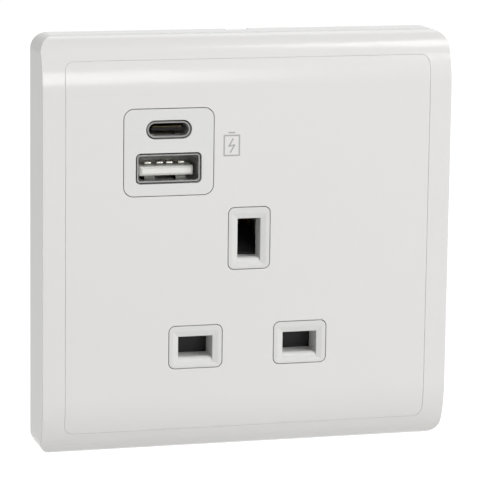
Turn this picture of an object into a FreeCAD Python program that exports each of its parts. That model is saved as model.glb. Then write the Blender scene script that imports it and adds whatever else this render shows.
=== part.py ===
import FreeCAD, Part
import math
import os

# Single-gang wall socket for three flat pins, with two charging ports in its front.
# Millimetres. X runs to the right seen from the front, Y into the wall and Z up.
# The origin is midway between the two fixing slots, in the plane of the wall (Y = 0),
# so the front face looks along -Y and the rear housing reaches into the wall box.

V = FreeCAD.Vector

# Cover: the square plate with its rolled top and bottom
plate_margin = 10.5          # from the mechanism's top to the edge of the plate
plate_depth = 12.5           # wall plane to the flat front
plate_wall = 2.0             # thickness of the moulded cover
plate_corner = 3.3           # radius of the four corners, seen from the front
roll_height = 12.0           # height of each rolled band
roll_depth = 6.5             # how far the roll falls back before the straight edge
rim_width = 4.65             # surround beside the seam, at the left and right
rim_height = 4.8             # surround above and below the seam
seam_corner = 1.8            # radius of the seam's corners
seam_gap = 0.08              # both sides of the seam together
lip_wall = 1.0               # wall of the surround behind the seam
lip_depth = 3.5              # how far that wall reaches back from the front
skirt_wall = 1.5             # wall of the inner plate that stands on the flange
notch_width = 4.7            # pry notch in the top edge
notch_depth = 1.6
rib_thickness = 1.2
rib_reach = 6.0              # of the surround's ribs, in from its wall
surround_rib_place = 13.0    # ribs of the surround, from the middle of each side
clip_place = 24.0            # clips of the surround, from the middle of each side
clip_length = 5.0
clip_height = 1.0            # how far a clip reaches along Y
clip_bite = 0.6              # how far a clip reaches under the flange
leg_place = 16.0             # legs of the inner plate, from the middle of its top and bottom
leg_width = 5.0

# Clearances
fit_gap = 0.3                # between mouldings that push together
hairline = 0.15              # round everything that shows through the inner plate
cover_gap = 0.2              # between the inner plate and the roof behind it
slide_gap = 0.2              # round the shutter
play = 0.1                   # under clips, barbs and round tabs
thread_gap = 0.05            # round the screws
overrun = 1.0                # how far a cut runs past what it cuts
lap = 0.5                    # how far a rib or clip runs into the wall that carries it

# Base plate with its raised mechanism
flange_thickness = 2.5
fixing_spacing = 60.3        # between the two fixing slots
fixing_slot_radius = 1.9     # half the width of a slot, for an M3.5 screw
fixing_slot_length = 6.2
core_corner = 1.6
core_wall = 1.6
lug_room = 5.65              # from the middle of a fixing slot to the narrow waist
waist_half_height = 7.8      # the waist is clear of the lugs of the wall box
floor_room = 1.55            # below the shutter when it is right down
port_room = 0.51             # beside the insert of the charging ports
roof_thickness = 1.7
pillar_radius = 1.4
top_pillar = (12.0, 3.0)     # place, and how far below the top edge of the board
side_pillar = (24.0, 2.6)    # place, and how far above the foot of the board
middle_pillar = (-2.5, 2.1)

# Pins: the standard pattern for three flat pins
pin_offset = 11.115          # line and neutral, either side of the middle
pin_drop = 22.23             # line and neutral below earth
earth_height = 1.38          # earth pin above the middle of the plate
mains_pin_height = 3.97
mains_pin_length = 17.7
earth_pin_width = 3.97
earth_pin_height = 7.92
earth_pin_length = 22.7
mains_hole_width = 7.25
mains_hole_height = 4.4
earth_hole_width = 4.85
earth_hole_height = 8.15
mains_boss_width = 11.13
mains_boss_height = 8.75
earth_boss_width = 8.7
earth_boss_height = 12.71
boss_corner = 1.2
dish_width = 1.1             # shallow dish in the boss, round each hole
dish_depth = 0.22
dish_foot = 0.55             # of the dish below the rounded foot of a hole
foot_round = 1.1             # radius where the foot of a hole turns into the face
collar_wall = 1.0            # tube round each mains hole, behind the roof
collar_depth = 1.5

# Shutter, pushed down by the earth pin
shutter_travel = 5.5
shutter_overlap = 0.8        # past each edge of the mains holes
stem_half_width = 2.8
stem_depth = 5.4             # along Y
ramp_clearance = 0.32        # between the lowered shutter and the earth pin
ramp_lead = 0.3              # from the foot of the earth hole up to the ramp
stem_crest = 1.2             # flat at the top of the ramp
blade_thickness = 2.6
blade_half_width = 15.6
pocket_radius = 1.95
pocket_depth = 11.85
spring_wire = 0.45
spring_radius = 1.45         # to the middle of the wire
spring_turns = 6
peg_radius = 0.9
peg_length = 2.6
guide_thickness = 1.0
guide_depth = 3.6
guide_gap = 0.3              # below the earth hole

# Rear housing
housing_depth = 22.0
housing_wall = 1.6
divider_thickness = 1.0
divider_reach = 11.35        # above the middle of the mains pins
bridge_height = 4.0
bridge_thickness = 1.2
chamber_half_height = 4.4    # clear height each side of the mains pins
earth_chamber_half_width = 4.2
earth_chamber_gap = 1.2      # above and below the earth contact
backstop = 4.0               # square posts behind the contacts

# Screws that hold the housing to the base plate
post_inset = 2.4             # from the inner walls to the middle of a post
top_post_x = -3.0            # the one beside the charging ports
post_radius = 2.6
well_radius = 3.3
well_floor = 2.0
well_bore = 2.75
screw_radius = 1.4
screw_head_radius = 2.5
screw_head_height = 1.8
screw_bite = 6.5             # length of thread in the post
screw_tip_room = 0.5         # past the tip of the screw
screw_slot = 0.8
screw_slot_depth = 0.9
screw_cross = 1.0            # how far a cross recess reaches past its own width

# Contacts
strip = 0.8                  # thickness of the contact strip
strip_bend = 0.8             # bend radius to the middle of the strip
contact_mouth = -2.0         # where the leaves begin
contact_flare = 2.9
mains_grip_place = 3.0       # from the mouth to where the leaves grip a pin
earth_grip_place = 6.0
contact_grip = 0.08          # how much narrower than the pin the leaves stand, each side
contact_run_on = 2.0         # room past the tip of a mains pin
earth_run_on = 0.4
mains_leaf_width = 6.4
earth_leaf_height = 7.2
tail_height = 5.2
strap_half_width = 2.4
tang_half_width = 0.9
tang_length = 4.0

# Terminals
terminal_spread = 19.0       # line and neutral terminals, either side of the middle
earth_bore_spread = 3.4
terminal_length = 8.0        # along Y
terminal_height = 9.0
seat_height = 5.4            # of the moulded seat under the terminals
mains_terminal_width = 8.2
earth_terminal_width = 12.8
mains_wire_radius = 2.2
earth_wire_radius = 1.9
wire_mouth_wall = 0.9        # ledge under a terminal, round its wire mouth
wire_mouth_corner = 1.0
clamp_radius = 1.7
clamp_head_radius = 2.6
clamp_head_height = 2.0
clamp_travel = 3.0
clamp_tip_gap = 0.2          # between the backed-out screw and the wire bore
clamp_reach = 5.0            # shank under the head
clamp_access_gap = 0.45
clamp_rise = 1.5             # clamp screws above the middle of their terminals
terminal_corner = 0.6
stake_radius = 1.2
stake_height = 1.0

# Charging ports
port_centre_x = -17.03
port_face_height = 19.59
port_face_width = 18.62
port_face_tall = 17.69
port_face_corner = 2.0
port_flange = 0.85           # ledge of the insert behind the roof
port_flange_thickness = 1.2
port_recess = 0.2            # the metal shells stand this far back
port_clearance = 0.3         # round each shell
shell_metal = 0.3
a_centre_z = 16.3
a_width = 13.1
a_height = 5.7
a_corner = 0.7
a_tongue_width = 11.1
a_tongue_thickness = 1.85
a_tongue_rise = 0.85         # above the floor of the shell
a_tongue_set_back = 1.5
a_tongue_chamfer = 0.45
finger_width = 2.2           # spring fingers in the wide shell
finger_slit = 0.3
finger_start = 2.2           # from the front edge of the shell
finger_end = 7.5
finger_cut = 0.6
a_contact_places = [-3.5, -1.0, 1.0, 3.5]
a_contact_set_back = 1.0     # tip behind the nose of the tongue
a_contact_width = 1.3
a_contact_thickness = 0.2
a_contact_hump = 0.6
a_contact_reach = (1.35, 3.0)    # from the tip to the crest, and to the foot of the hump
c_centre_z = 24.2
c_width = 8.94
c_height = 3.26
c_tongue_width = 6.69
c_tongue_thickness = 0.7
c_tongue_set_back = 1.1
c_root_length = 2.0
c_contact_count = 12
c_contact_pitch = 0.5
c_contact_width = 0.25
c_contact_thickness = 0.1
c_contact_set_back = 0.6     # contacts behind the nose of the tongue
c_slot_places = [-2.6, 2.6]  # windows in the roof and floor of the narrow shell
c_slot_width = 0.9
c_slot_start = 1.6           # from the front edge of the shell
c_slot_end = 3.4
connector_base = 4.2         # moulded block at the foot of each connector
leg_tab = 1.5
leg_tab_length = 2.6

# Charger board and what stands on it
board_front = 1.8
board_thickness = 1.6
board_gap = 0.4              # to the walls of the housing
board_foot_gap = 1.0
board_corner = 1.0
ledge = 1.5
ledge_width = 2.0
top_ledge_place = 11.0
corner_ledge_rise = 0.7      # of the ledges at the waist, past the foot of the board
top_ledge_drop = 1.0         # of the top ledge, below the edge of the board
core_ferrite = (14.0, 12.0, 11.0)    # width, height and depth of the transformer core
core_centre = (8.0, 20.0)
core_leg = 2.6
bobbin_flange = 0.8
bobbin_foot = 2.2            # height of the pin block under the winding
winding_corner = 2.0
input_capacitor_gap = 1.9    # from the first one to the side wall
input_capacitor_foot = 15.2  # height of its middle
input_capacitor_step = (-2.8, 8.4)   # from the first one to the second
input_capacitor_radius = 4.0
input_capacitor_length = 12.0
output_capacitor_gap = 0.55  # from the first one to the side wall
output_capacitor_drop = 0.65 # from the first one to the top wall
output_capacitor_step = (1.3, -6.8)  # from the first one to the second
output_capacitor_radius = 3.15
output_capacitor_length = 8.0
capacitor_groove = 0.35
capacitor_groove_place = 1.2 # above the board
inductor_centre = (-17.0, 25.3)
inductor_radius = 3.2
inductor_length = 6.0
inductor_waist = 0.9
chip_sizes = {
    "bridge_rectifier": (-8.0, 13.2, 5.0, 4.0, 2.0),
    "controller_chip": (-3.5, 18.6, 5.0, 4.0, 1.6),
    "output_rectifier": (-17.0, 17.3, 5.0, 6.5, 2.3),
}
chip_leg = 0.5
chip_leg_root = 0.2
chip_leg_reach = 1.0
chip_leg_pitch = 1.27
disc_centre = (-8.2, 22.6)
disc_radius = 3.3
disc_thickness = 2.6
fuse_centre = (7.5, 12.1)
fuse_radius = 1.5
fuse_length = 7.0
lead_radius = 0.9
lead_place = 16.2
lead_foot = -22.0
lead_rise = 4.0
lead_bend = 0.45             # share of the shorter run that a bend takes
lead_top = 12.9

# Planes and sizes that several pieces share
mains_height = earth_height - pin_drop
blade_foot = mains_height - mains_hole_height / 2 - shutter_overlap
blade_top = mains_height + mains_hole_height / 2 + shutter_overlap
core_floor = blade_foot - shutter_travel - floor_room
core_half_height = core_wall - core_floor
core_half_width = (-port_centre_x + port_face_width / 2 + hairline + port_flange + port_room
                   + core_wall)
waist_half_width = fixing_spacing / 2 - lug_room
plate_size = 2 * (core_half_height + plate_margin)
seam_half_width = plate_size / 2 - rim_width
seam_half_height = plate_size / 2 - rim_height
ramp_foot = earth_height - earth_hole_height / 2 + ramp_lead
ramp_top = earth_height - earth_pin_height / 2 + shutter_travel - ramp_clearance
pocket_top = blade_foot + pocket_depth
guide_top = earth_height - earth_hole_height / 2 - guide_gap
divider_top = mains_height + divider_reach
earth_chamber_top = earth_height + earth_leaf_height / 2 + earth_chamber_gap
earth_chamber_foot = earth_height - earth_leaf_height / 2 - earth_chamber_gap
post_x = core_half_width - core_wall - post_inset
post_z = core_half_height - core_wall - post_inset
post_places = [(-post_x, -post_z), (post_x, -post_z), (post_x, post_z), (top_post_x, post_z)]
terminal_foot = core_floor + seat_height
board_half_width = core_half_width - core_wall - board_gap
board_foot = waist_half_height + core_wall + board_foot_gap
board_top = core_half_height - core_wall - board_gap
input_capacitor_x = (core_half_width - housing_wall - input_capacitor_gap
                     - input_capacitor_radius)
output_capacitor_x = (output_capacitor_radius + output_capacitor_gap + housing_wall
                      - core_half_width)
output_capacitor_z = (core_half_height - core_wall - output_capacitor_drop
                      - output_capacitor_radius)
front = -plate_depth
roll_plane = front + roll_depth
flange_front = -flange_thickness
roof_front = front + plate_wall + cover_gap
roof_back = roof_front + roof_thickness
collar_end = roof_back + collar_depth
stem_front = roof_back + slide_gap
stem_back = stem_front + stem_depth
blade_front = collar_end + slide_gap / 2
blade_back = blade_front + blade_thickness
mains_web = front + mains_pin_length + contact_run_on
earth_web = front + earth_pin_length + earth_run_on
terminal_front = mains_web + strip
terminal_back = terminal_front + terminal_length
terminal_middle = terminal_foot + terminal_height / 2
clamp_height = terminal_middle + clamp_rise
bore_depth = terminal_front + terminal_length / 2
housing_inside = housing_depth - housing_wall
board_back = board_front + board_thickness
skirt_half_width = seam_half_width - seam_gap / 2
skirt_half_height = seam_half_height - seam_gap / 2
shell_front = front + port_recess


def block(x, y, z):
    """Plain block between two places on each axis."""
    return Part.makeBox(x[1] - x[0], y[1] - y[0], z[1] - z[0], V(x[0], y[0], z[0]))


def rod_y(x, z, radius, y):
    """Cylinder along Y between two depths."""
    return Part.makeCylinder(radius, y[1] - y[0], V(x, y[0], z), V(0, 1, 0))


def rod_z(x, y, radius, z):
    """Upright cylinder between two heights."""
    return Part.makeCylinder(radius, z[1] - z[0], V(x, y, z[0]), V(0, 0, 1))


def rod_x(y, z, radius, x):
    """Cylinder along X between two places."""
    return Part.makeCylinder(radius, x[1] - x[0], V(x[0], y, z), V(1, 0, 0))


def join(shapes):
    """One solid from several that meet."""
    return shapes[0].multiFuse(shapes[1:]).removeSplitter()


def take_away(shape, tools):
    """The shape with each of the tools cut out of it."""
    return shape.cut(tools).removeSplitter()


def both_sides(place):
    """The same place on either side of the middle."""
    return [-place, place]


def outline(x, z, width, height, radius, y):
    """Closed rounded rectangle in the XZ plane, at depth y."""
    reach_x = width / 2 - radius
    reach_z = height / 2 - radius
    arcs = []
    for quarter in range(4):
        start = quarter * math.pi / 2
        side_x = 1 if quarter in (0, 3) else -1
        side_z = 1 if quarter in (0, 1) else -1
        centre = V(x + side_x * reach_x, y, z + side_z * reach_z)
        turns = [start, start + math.pi / 4, start + math.pi / 2]
        arcs.append([centre + V(radius * math.cos(t), 0, radius * math.sin(t)) for t in turns])
    edges = []
    for number, arc in enumerate(arcs):
        edges.append(Part.Arc(*arc).toShape())
        following = arcs[(number + 1) % 4][0]
        if arc[2].distanceToPoint(following) > 1e-6:
            edges.append(Part.LineSegment(arc[2], following).toShape())
    return Part.Wire(edges)


def slab(x, z, width, height, radius, y):
    """Rounded rectangle drawn out between two depths."""
    face = Part.Face(outline(x, z, width, height, radius, y[0]))
    return face.extrude(V(0, y[1] - y[0], 0))


def bend_strip(points, thickness, radius):
    """Both sides of a strip bent along flat points, as rows of ('line' or 'arc', points)."""
    steps = [(b[0] - a[0], b[1] - a[1]) for a, b in zip(points, points[1:])]
    lengths = [math.hypot(*step) for step in steps]
    along = [(step[0] / size, step[1] / size) for step, size in zip(steps, lengths)]
    across = [(-d[1], d[0]) for d in along]
    sides = []
    for offset in (thickness / 2, -thickness / 2):
        row = []
        here = (points[0][0] + across[0][0] * offset, points[0][1] + across[0][1] * offset)
        for number in range(1, len(points) - 1):
            before = along[number - 1]
            after = along[number]
            cross = before[0] * after[1] - before[1] * after[0]
            turn = math.atan2(cross, before[0] * after[0] + before[1] * after[1])
            hand = 1 if turn > 0 else -1
            tangent = radius * math.tan(abs(turn) / 2)
            corner = points[number]
            foot = (corner[0] - before[0] * tangent, corner[1] - before[1] * tangent)
            side = across[number - 1]
            centre = (foot[0] + side[0] * radius * hand, foot[1] + side[1] * radius * hand)
            reach = radius - hand * offset
            angle = math.atan2(foot[1] - centre[1], foot[0] - centre[0])
            turned = [angle, angle + turn / 2, angle + turn]
            arc = [(centre[0] + reach * math.cos(t), centre[1] + reach * math.sin(t)) for t in turned]
            row.append(("line", [here, arc[0]]))
            row.append(("arc", arc))
            here = arc[2]
        end = points[-1]
        last = (end[0] + across[-1][0] * offset, end[1] + across[-1][1] * offset)
        row.append(("line", [here, last]))
        sides.append(row)
    return sides


def strip_face(points, thickness, radius, place):
    """Face of a bent strip; place() lifts each flat point into space."""
    left, right = bend_strip(points, thickness, radius)
    edges = []
    for kind, row in left:
        lifted = [place(*point) for point in row]
        maker = Part.Arc if kind == "arc" else Part.LineSegment
        edges.append(maker(*lifted).toShape())
    far_left = place(*left[-1][1][-1])
    far_right = place(*right[-1][1][-1])
    edges.append(Part.LineSegment(far_left, far_right).toShape())
    for kind, row in reversed(right):
        lifted = [place(*point) for point in reversed(row)]
        maker = Part.Arc if kind == "arc" else Part.LineSegment
        edges.append(maker(*lifted).toShape())
    near_right = place(*right[0][1][0])
    near_left = place(*left[0][1][0])
    edges.append(Part.LineSegment(near_right, near_left).toShape())
    return Part.Face(Part.Wire(edges))


def rolled_body(inset):
    """Block with the cover's flat front and rolled top and bottom, drawn in by inset."""
    half = plate_size / 2 - inset
    face_y = front + inset
    flat_end = plate_size / 2 - roll_height
    upper = Part.Ellipse(V(0, roll_plane, half), V(0, face_y, flat_end), V(0, roll_plane, flat_end))
    lower = Part.Ellipse(V(0, roll_plane, -half), V(0, face_y, -flat_end), V(0, roll_plane, -flat_end))
    corners = [V(0, 0, -half), V(0, 0, half), V(0, roll_plane, half)]
    edges = [Part.makePolygon(corners)]
    edges.append(Part.ArcOfEllipse(upper, 0, math.pi / 2).toShape())
    edges.append(Part.makeLine(V(0, face_y, flat_end), V(0, face_y, -flat_end)))
    edges.append(Part.ArcOfEllipse(lower, 0, math.pi / 2).toShape())
    edges.append(Part.makeLine(V(0, roll_plane, -half), V(0, 0, -half)))
    loose = [edge for shape in edges for edge in shape.Edges]
    profile = Part.Wire(Part.__sortEdges__(loose))
    band = Part.Face(profile).extrude(V(2 * half, 0, 0))
    band.translate(V(-half, 0, 0))
    corner = max(plate_corner - inset, plate_corner / 4)
    return band.common(slab(0, 0, 2 * half, 2 * half, corner, (face_y, 0)))


def boss_places():
    """Centre and size of the three raised bosses: x, z, width, height."""
    places = [(0, earth_height, earth_boss_width, earth_boss_height)]
    for x in both_sides(pin_offset):
        places.append((x, mains_height, mains_boss_width, mains_boss_height))
    return places


def hole_places():
    """Centre and size of the three pin holes: x, z, width, height."""
    places = [(0, earth_height, earth_hole_width, earth_hole_height)]
    for x in both_sides(pin_offset):
        places.append((x, mains_height, mains_hole_width, mains_hole_height))
    return places


def make_front_plate():
    """Inner plate: rolled skin with four windows, standing on its skirt, with barbed legs."""
    outer = rolled_body(0).common(
        slab(0, 0, 2 * skirt_half_width, 2 * skirt_half_height, seam_corner, (front, flange_front)))
    inner_width = 2 * (skirt_half_width - skirt_wall)
    inner_height = 2 * (skirt_half_height - skirt_wall)
    hollow = rolled_body(plate_wall).common(
        slab(0, 0, inner_width, inner_height, seam_corner / 2, (front, 0)))
    windows = []
    for x, z, width, height in boss_places():
        size = (width + 2 * hairline, height + 2 * hairline)
        windows.append(slab(x, z, size[0], size[1], boss_corner + hairline, (front - overrun, 0)))
    size = (port_face_width + 2 * hairline, port_face_tall + 2 * hairline)
    windows.append(slab(port_centre_x, port_face_height, size[0], size[1],
                        port_face_corner + hairline, (front - overrun, 0)))
    plate = take_away(outer, [hollow] + windows)
    legs = []
    for x in both_sides(leg_place):
        for side in (-1, 1):
            legs.append(plate_leg(x, side))
    return join([plate] + legs)


def plate_leg(x, side):
    """Leg with a barb that catches behind the flange; side is up (1) or down (-1)."""
    inner = skirt_half_height - skirt_wall
    end = -fit_gap
    shank = ordered(side * inner, side * skirt_half_height)
    barb = ordered(side * (inner - clip_bite), side * inner)
    span = (x - leg_width / 2, x + leg_width / 2)
    stem = block(span, (flange_front, end), shank)
    hook = block(span, (end - clip_height, end), barb)
    return stem.fuse(hook)


def ordered(a, b):
    """Two places, the lower first."""
    return (min(a, b), max(a, b))


def leg_slots(x, side):
    """Slot in the flange for a leg, with the rebate behind it for the barb."""
    inner = skirt_half_height - skirt_wall
    outer = skirt_half_height + clip_bite + fit_gap
    span = (x - leg_width / 2 - fit_gap, x + leg_width / 2 + fit_gap)
    slot = block(span, (flange_front - overrun, overrun), ordered(side * (inner - play), side * outer))
    shelf = -fit_gap - clip_height - play
    rebate = block(span, (shelf, overrun), ordered(side * (inner - clip_bite - fit_gap), side * outer))
    return [slot, rebate]


def turned(shape, quarter):
    """The shape turned about the Y axis by a number of quarter turns."""
    copy = shape.copy()
    copy.rotate(V(0, 0, 0), V(0, 1, 0), 90 * quarter)
    return copy


def make_surround():
    """Outer frame: rolled rim round the seam, with ribs, clips and a pry notch."""
    wall_inside = plate_size / 2 - plate_wall
    window = slab(0, 0, 2 * seam_half_width + seam_gap, 2 * seam_half_height + seam_gap,
                  seam_corner + seam_gap / 2, (front - overrun, overrun))
    lip = slab(0, 0, 2 * (seam_half_width + lip_wall) + seam_gap,
               2 * (seam_half_height + lip_wall) + seam_gap,
               seam_corner + lip_wall, (front, front + plate_wall + lip_depth))
    hollow = rolled_body(plate_wall).cut(lip)
    outer = rolled_body(0)
    shell = outer.cut(hollow)
    extras = []
    for quarter in range(4):
        for place in both_sides(surround_rib_place):
            rib = block((place - rib_thickness / 2, place + rib_thickness / 2),
                        (front, flange_front), (wall_inside - rib_reach, wall_inside + lap))
            extras.append(turned(rib, quarter).common(outer))
        for place in both_sides(clip_place):
            clip = block((place - clip_length / 2, place + clip_length / 2),
                         (-play - clip_height, -play),
                         (wall_inside - fit_gap - clip_bite, wall_inside + lap))
            extras.append(turned(clip, quarter))
    notch = block((-notch_width / 2, notch_width / 2), (-notch_depth, overrun),
                  (wall_inside - overrun, plate_size))
    return take_away(join([shell] + extras), [window, notch])


def core_prism(inset, y):
    """Outline of the mechanism with its narrow waist, drawn in by inset."""
    half_width = core_half_width - inset
    half_height = core_half_height - inset
    waist = waist_half_width - inset
    step = waist_half_height + inset
    corner = max(core_corner - inset, core_corner / 4)
    shapes = [slab(0, 0, 2 * waist, 2 * half_height, corner, y)]
    for side in (-1, 1):
        middle = side * (step + half_height) / 2
        shapes.append(slab(0, middle, 2 * half_width, half_height - step, corner, y))
    return join(shapes)


def pin_hole(x, z, width, height):
    """Hole for one pin, with a shallow dish round it and a rounded foot."""
    left = x - width / 2
    right = x + width / 2
    foot = z - height / 2
    top = z + height / 2
    bed = front + dish_depth
    low = foot - foot_round
    rim = [V(left - dish_width, front, low - dish_foot), V(right + dish_width, front, low - dish_foot),
           V(right + dish_width, front, top + dish_width), V(left - dish_width, front, top + dish_width)]
    ring = [V(left, bed, low), V(right, bed, low), V(right, bed, top), V(left, bed, top)]
    wires = [Part.makePolygon(row + row[:1]) for row in (rim, ring)]
    dish = Part.makeLoft(wires, True)
    hole = block((left, right), (bed, 0), (foot, top))
    return join([dish, hole, foot_rounding(left, right, foot, bed)])


def foot_rounding(left, right, foot, bed):
    """What comes away where the foot of a hole is rounded over, behind the bed of the dish."""
    low = foot - foot_round
    slant = foot_round * (1 - math.sqrt(0.5))
    start = V(left, bed, low)
    corner = V(left, bed, foot)
    end = V(left, bed + foot_round, foot)
    bend = Part.Arc(end, V(left, bed + slant, foot - slant), start).toShape()
    sides = [Part.makeLine(start, corner), Part.makeLine(corner, end), bend]
    return Part.Face(Part.Wire(sides)).extrude(V(right - left, 0, 0))


def slot_hole(x):
    """Fixing slot, drawn through the flange."""
    return slab(x, 0, fixing_slot_length, 2 * fixing_slot_radius, fixing_slot_radius,
                (flange_front - overrun, overrun))


def make_base_plate():
    """Flange and raised mechanism in one moulding, carrying the three bosses."""
    flange_half = plate_size / 2 - plate_wall - fit_gap
    solids = [slab(0, 0, 2 * flange_half, 2 * flange_half, plate_corner / 3, (flange_front, 0))]
    solids.append(core_prism(0, (roof_front, 0)))
    for x, z, width, height in boss_places():
        solids.append(slab(x, z, width, height, boss_corner, (front, roof_back)))
    body = take_away(join(solids), [core_prism(core_wall, (roof_back, overrun))])
    inside = []
    for x in both_sides(pin_offset):
        inside.append(slab(x, mains_height, mains_hole_width + 2 * collar_wall,
                           mains_hole_height + 2 * collar_wall, collar_wall,
                           (roof_back, collar_end)))
    for x, z in post_places:
        inside.append(rod_y(x, z, post_radius, (roof_back, 0)))
    for x, z in pillar_places():
        inside.append(rod_y(x, z, pillar_radius, (roof_back, board_front)))
    for side in (-1, 1):
        near = stem_half_width + slide_gap
        inside.append(block(ordered(side * near, side * (near + guide_thickness)),
                            (roof_back, roof_back + guide_depth),
                            (blade_top + slide_gap, guide_top)))
    spring_y = (stem_front + stem_back) / 2
    inside.append(rod_z(0, spring_y, peg_radius, (core_floor - core_wall / 2, core_floor + peg_length)))
    inside.extend(flange_ribs())
    body = join([body] + inside)
    cuts = [pin_hole(*place) for place in hole_places()]
    cuts.append(slab(port_centre_x, port_face_height, port_face_width + 2 * hairline,
                     port_face_tall + 2 * hairline, port_face_corner + hairline,
                     (front - overrun, roof_back)))
    for x in both_sides(fixing_spacing / 2):
        cuts.append(slot_hole(x))
    for x, z in post_places:
        cuts.append(rod_y(x, z, screw_radius + thread_gap, (-screw_bite - screw_tip_room, overrun)))
    for x in both_sides(leg_place):
        for side in (-1, 1):
            cuts.extend(leg_slots(x, side))
    for quarter in range(4):
        for place in both_sides(clip_place):
            rebate = block((place - clip_length / 2 - fit_gap, place + clip_length / 2 + fit_gap),
                           (-play - clip_height - play, overrun),
                           (flange_half - clip_bite - fit_gap, flange_half + overrun))
            cuts.append(turned(rebate, quarter))
    return take_away(body, cuts)


def pillar_places():
    """Pillars between the roof and the charger board."""
    return [(top_pillar[0], board_top - top_pillar[1]),
            (side_pillar[0], board_foot + side_pillar[1]),
            (middle_pillar[0], board_foot + middle_pillar[1])]


def flange_ribs():
    """Stiffening ribs on the front of the flange, beside the mechanism."""
    ribs = []
    reach_x = skirt_half_width - skirt_wall - fit_gap
    reach_z = skirt_half_height - skirt_wall - fit_gap
    depth = (flange_front - flange_thickness, flange_front)
    for side in (-1, 1):
        for level in both_sides(core_half_height / 2 + waist_half_height / 2):
            ribs.append(block(ordered(side * (core_half_width - lap), side * reach_x), depth,
                              (level - rib_thickness / 2, level + rib_thickness / 2)))
        for place in (-core_half_width / 3, core_half_width / 3):
            ribs.append(block((place - rib_thickness / 2, place + rib_thickness / 2), depth,
                              ordered(side * (core_half_height - lap), side * reach_z)))
    return ribs


def make_shutter():
    """Black shutter: ramped stem under the earth hole and a blade behind each mains hole."""
    points = [V(0, stem_front, blade_foot), V(0, stem_front, ramp_foot),
              V(0, stem_back - stem_crest, ramp_top), V(0, stem_back, ramp_top),
              V(0, stem_back, blade_foot)]
    side = Part.Face(Part.makePolygon(points + points[:1]))
    stem = side.extrude(V(2 * stem_half_width, 0, 0))
    stem.translate(V(-stem_half_width, 0, 0))
    blade = block((-blade_half_width, blade_half_width), (blade_front, blade_back),
                  (blade_foot, blade_top))
    spring_y = (stem_front + stem_back) / 2
    pocket = rod_z(0, spring_y, pocket_radius, (blade_foot - overrun, pocket_top))
    return take_away(join([stem, blade]), [pocket])


def make_shutter_spring():
    """Return spring between the floor of the mechanism and the shutter's pocket."""
    low = core_floor + spring_wire / 2
    high = pocket_top - spring_wire / 2
    height = high - low
    path = Part.makeHelix(height / spring_turns, height, spring_radius)
    profile = Part.Wire(Part.makeCircle(spring_wire / 2, V(spring_radius, 0, 0), V(0, 1, 0)))
    coil = Part.Wire(path).makePipeShell([profile], True, True)
    coil.translate(V(0, (stem_front + stem_back) / 2, low))
    return coil


def leaf_path(web, grip_at, half_gap, half_web):
    """Flat path of a contact: mouth, grip, web and back, symmetric about zero."""
    upper = [(contact_mouth, contact_flare), (grip_at, half_gap), (web + strip / 2, half_web)]
    lower = [(y, -across) for y, across in reversed(upper)]
    return upper + lower


def make_mains_contact(side):
    """Spring contact for a mains pin, with a tail to its terminal."""
    x = side * pin_offset
    half_gap = mains_pin_height / 2 - contact_grip + strip / 2
    path = leaf_path(mains_web, contact_mouth + mains_grip_place, half_gap, contact_flare)
    lift = lambda y, z: V(x - mains_leaf_width / 2, y, mains_height + z)
    spring = strip_face(path, strip, strip_bend, lift).extrude(V(mains_leaf_width, 0, 0))
    far = side * (terminal_spread + mains_terminal_width / 2)
    tail = block(ordered(x, far), (mains_web, terminal_front),
                 (mains_height - tail_height / 2, mains_height + tail_height / 2))
    stake = rod_y(side * terminal_spread, terminal_middle, stake_radius,
                  (mains_web - overrun, terminal_front + overrun))
    return take_away(join([spring, tail]), [stake])


def make_earth_contact():
    """Spring contact for the earth pin, with a strap down to the earth terminal."""
    half_gap = earth_pin_width / 2 - contact_grip + strip / 2
    path = leaf_path(earth_web, contact_mouth + earth_grip_place, half_gap, contact_flare)
    foot = earth_height - earth_leaf_height / 2
    lift = lambda y, x: V(x, y, foot)
    spring = strip_face(path, strip, strip_bend, lift).extrude(V(0, 0, earth_leaf_height))
    terminal_top = terminal_foot + terminal_height
    depth = (earth_web, earth_web + strip)
    strap = block((-strap_half_width, strap_half_width), depth, (terminal_top, earth_height))
    tang = block((-tang_half_width, tang_half_width), depth, (terminal_top - tang_length, terminal_top))
    return join([spring, strap, tang])


def make_mains_terminal(side):
    """Brass terminal with a wire bore from below and a clamp screw from behind."""
    x = side * terminal_spread
    body = slab(x, terminal_middle, mains_terminal_width, terminal_height, terminal_corner,
                (terminal_front, terminal_back))
    stake = rod_y(x, terminal_middle, stake_radius, (terminal_front - stake_height, terminal_front))
    bore = rod_z(x, bore_depth, mains_wire_radius,
                 (terminal_foot - overrun, terminal_foot + terminal_height + overrun))
    return take_away(body.fuse(stake), [bore, clamp_thread(x)])


def clamp_thread(x):
    """Threaded hole for a clamp screw, from the back of a terminal into its wire bore."""
    tip = bore_depth - clamp_travel / 2
    return rod_y(x, clamp_height, clamp_radius + thread_gap, (tip, terminal_back + overrun))


def make_earth_terminal():
    """Brass earth terminal with two wire bores and a slot for the strap between them."""
    body = slab(0, terminal_middle, earth_terminal_width, terminal_height, terminal_corner,
                (terminal_front, terminal_back))
    top = terminal_foot + terminal_height
    cuts = [block((-tang_half_width, tang_half_width), (earth_web, earth_web + strip),
                  (top - tang_length, top + overrun))]
    for x in both_sides(earth_bore_spread):
        cuts.append(rod_z(x, bore_depth, earth_wire_radius, (terminal_foot - overrun, top + overrun)))
        cuts.append(clamp_thread(x))
    return take_away(body, cuts)


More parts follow.
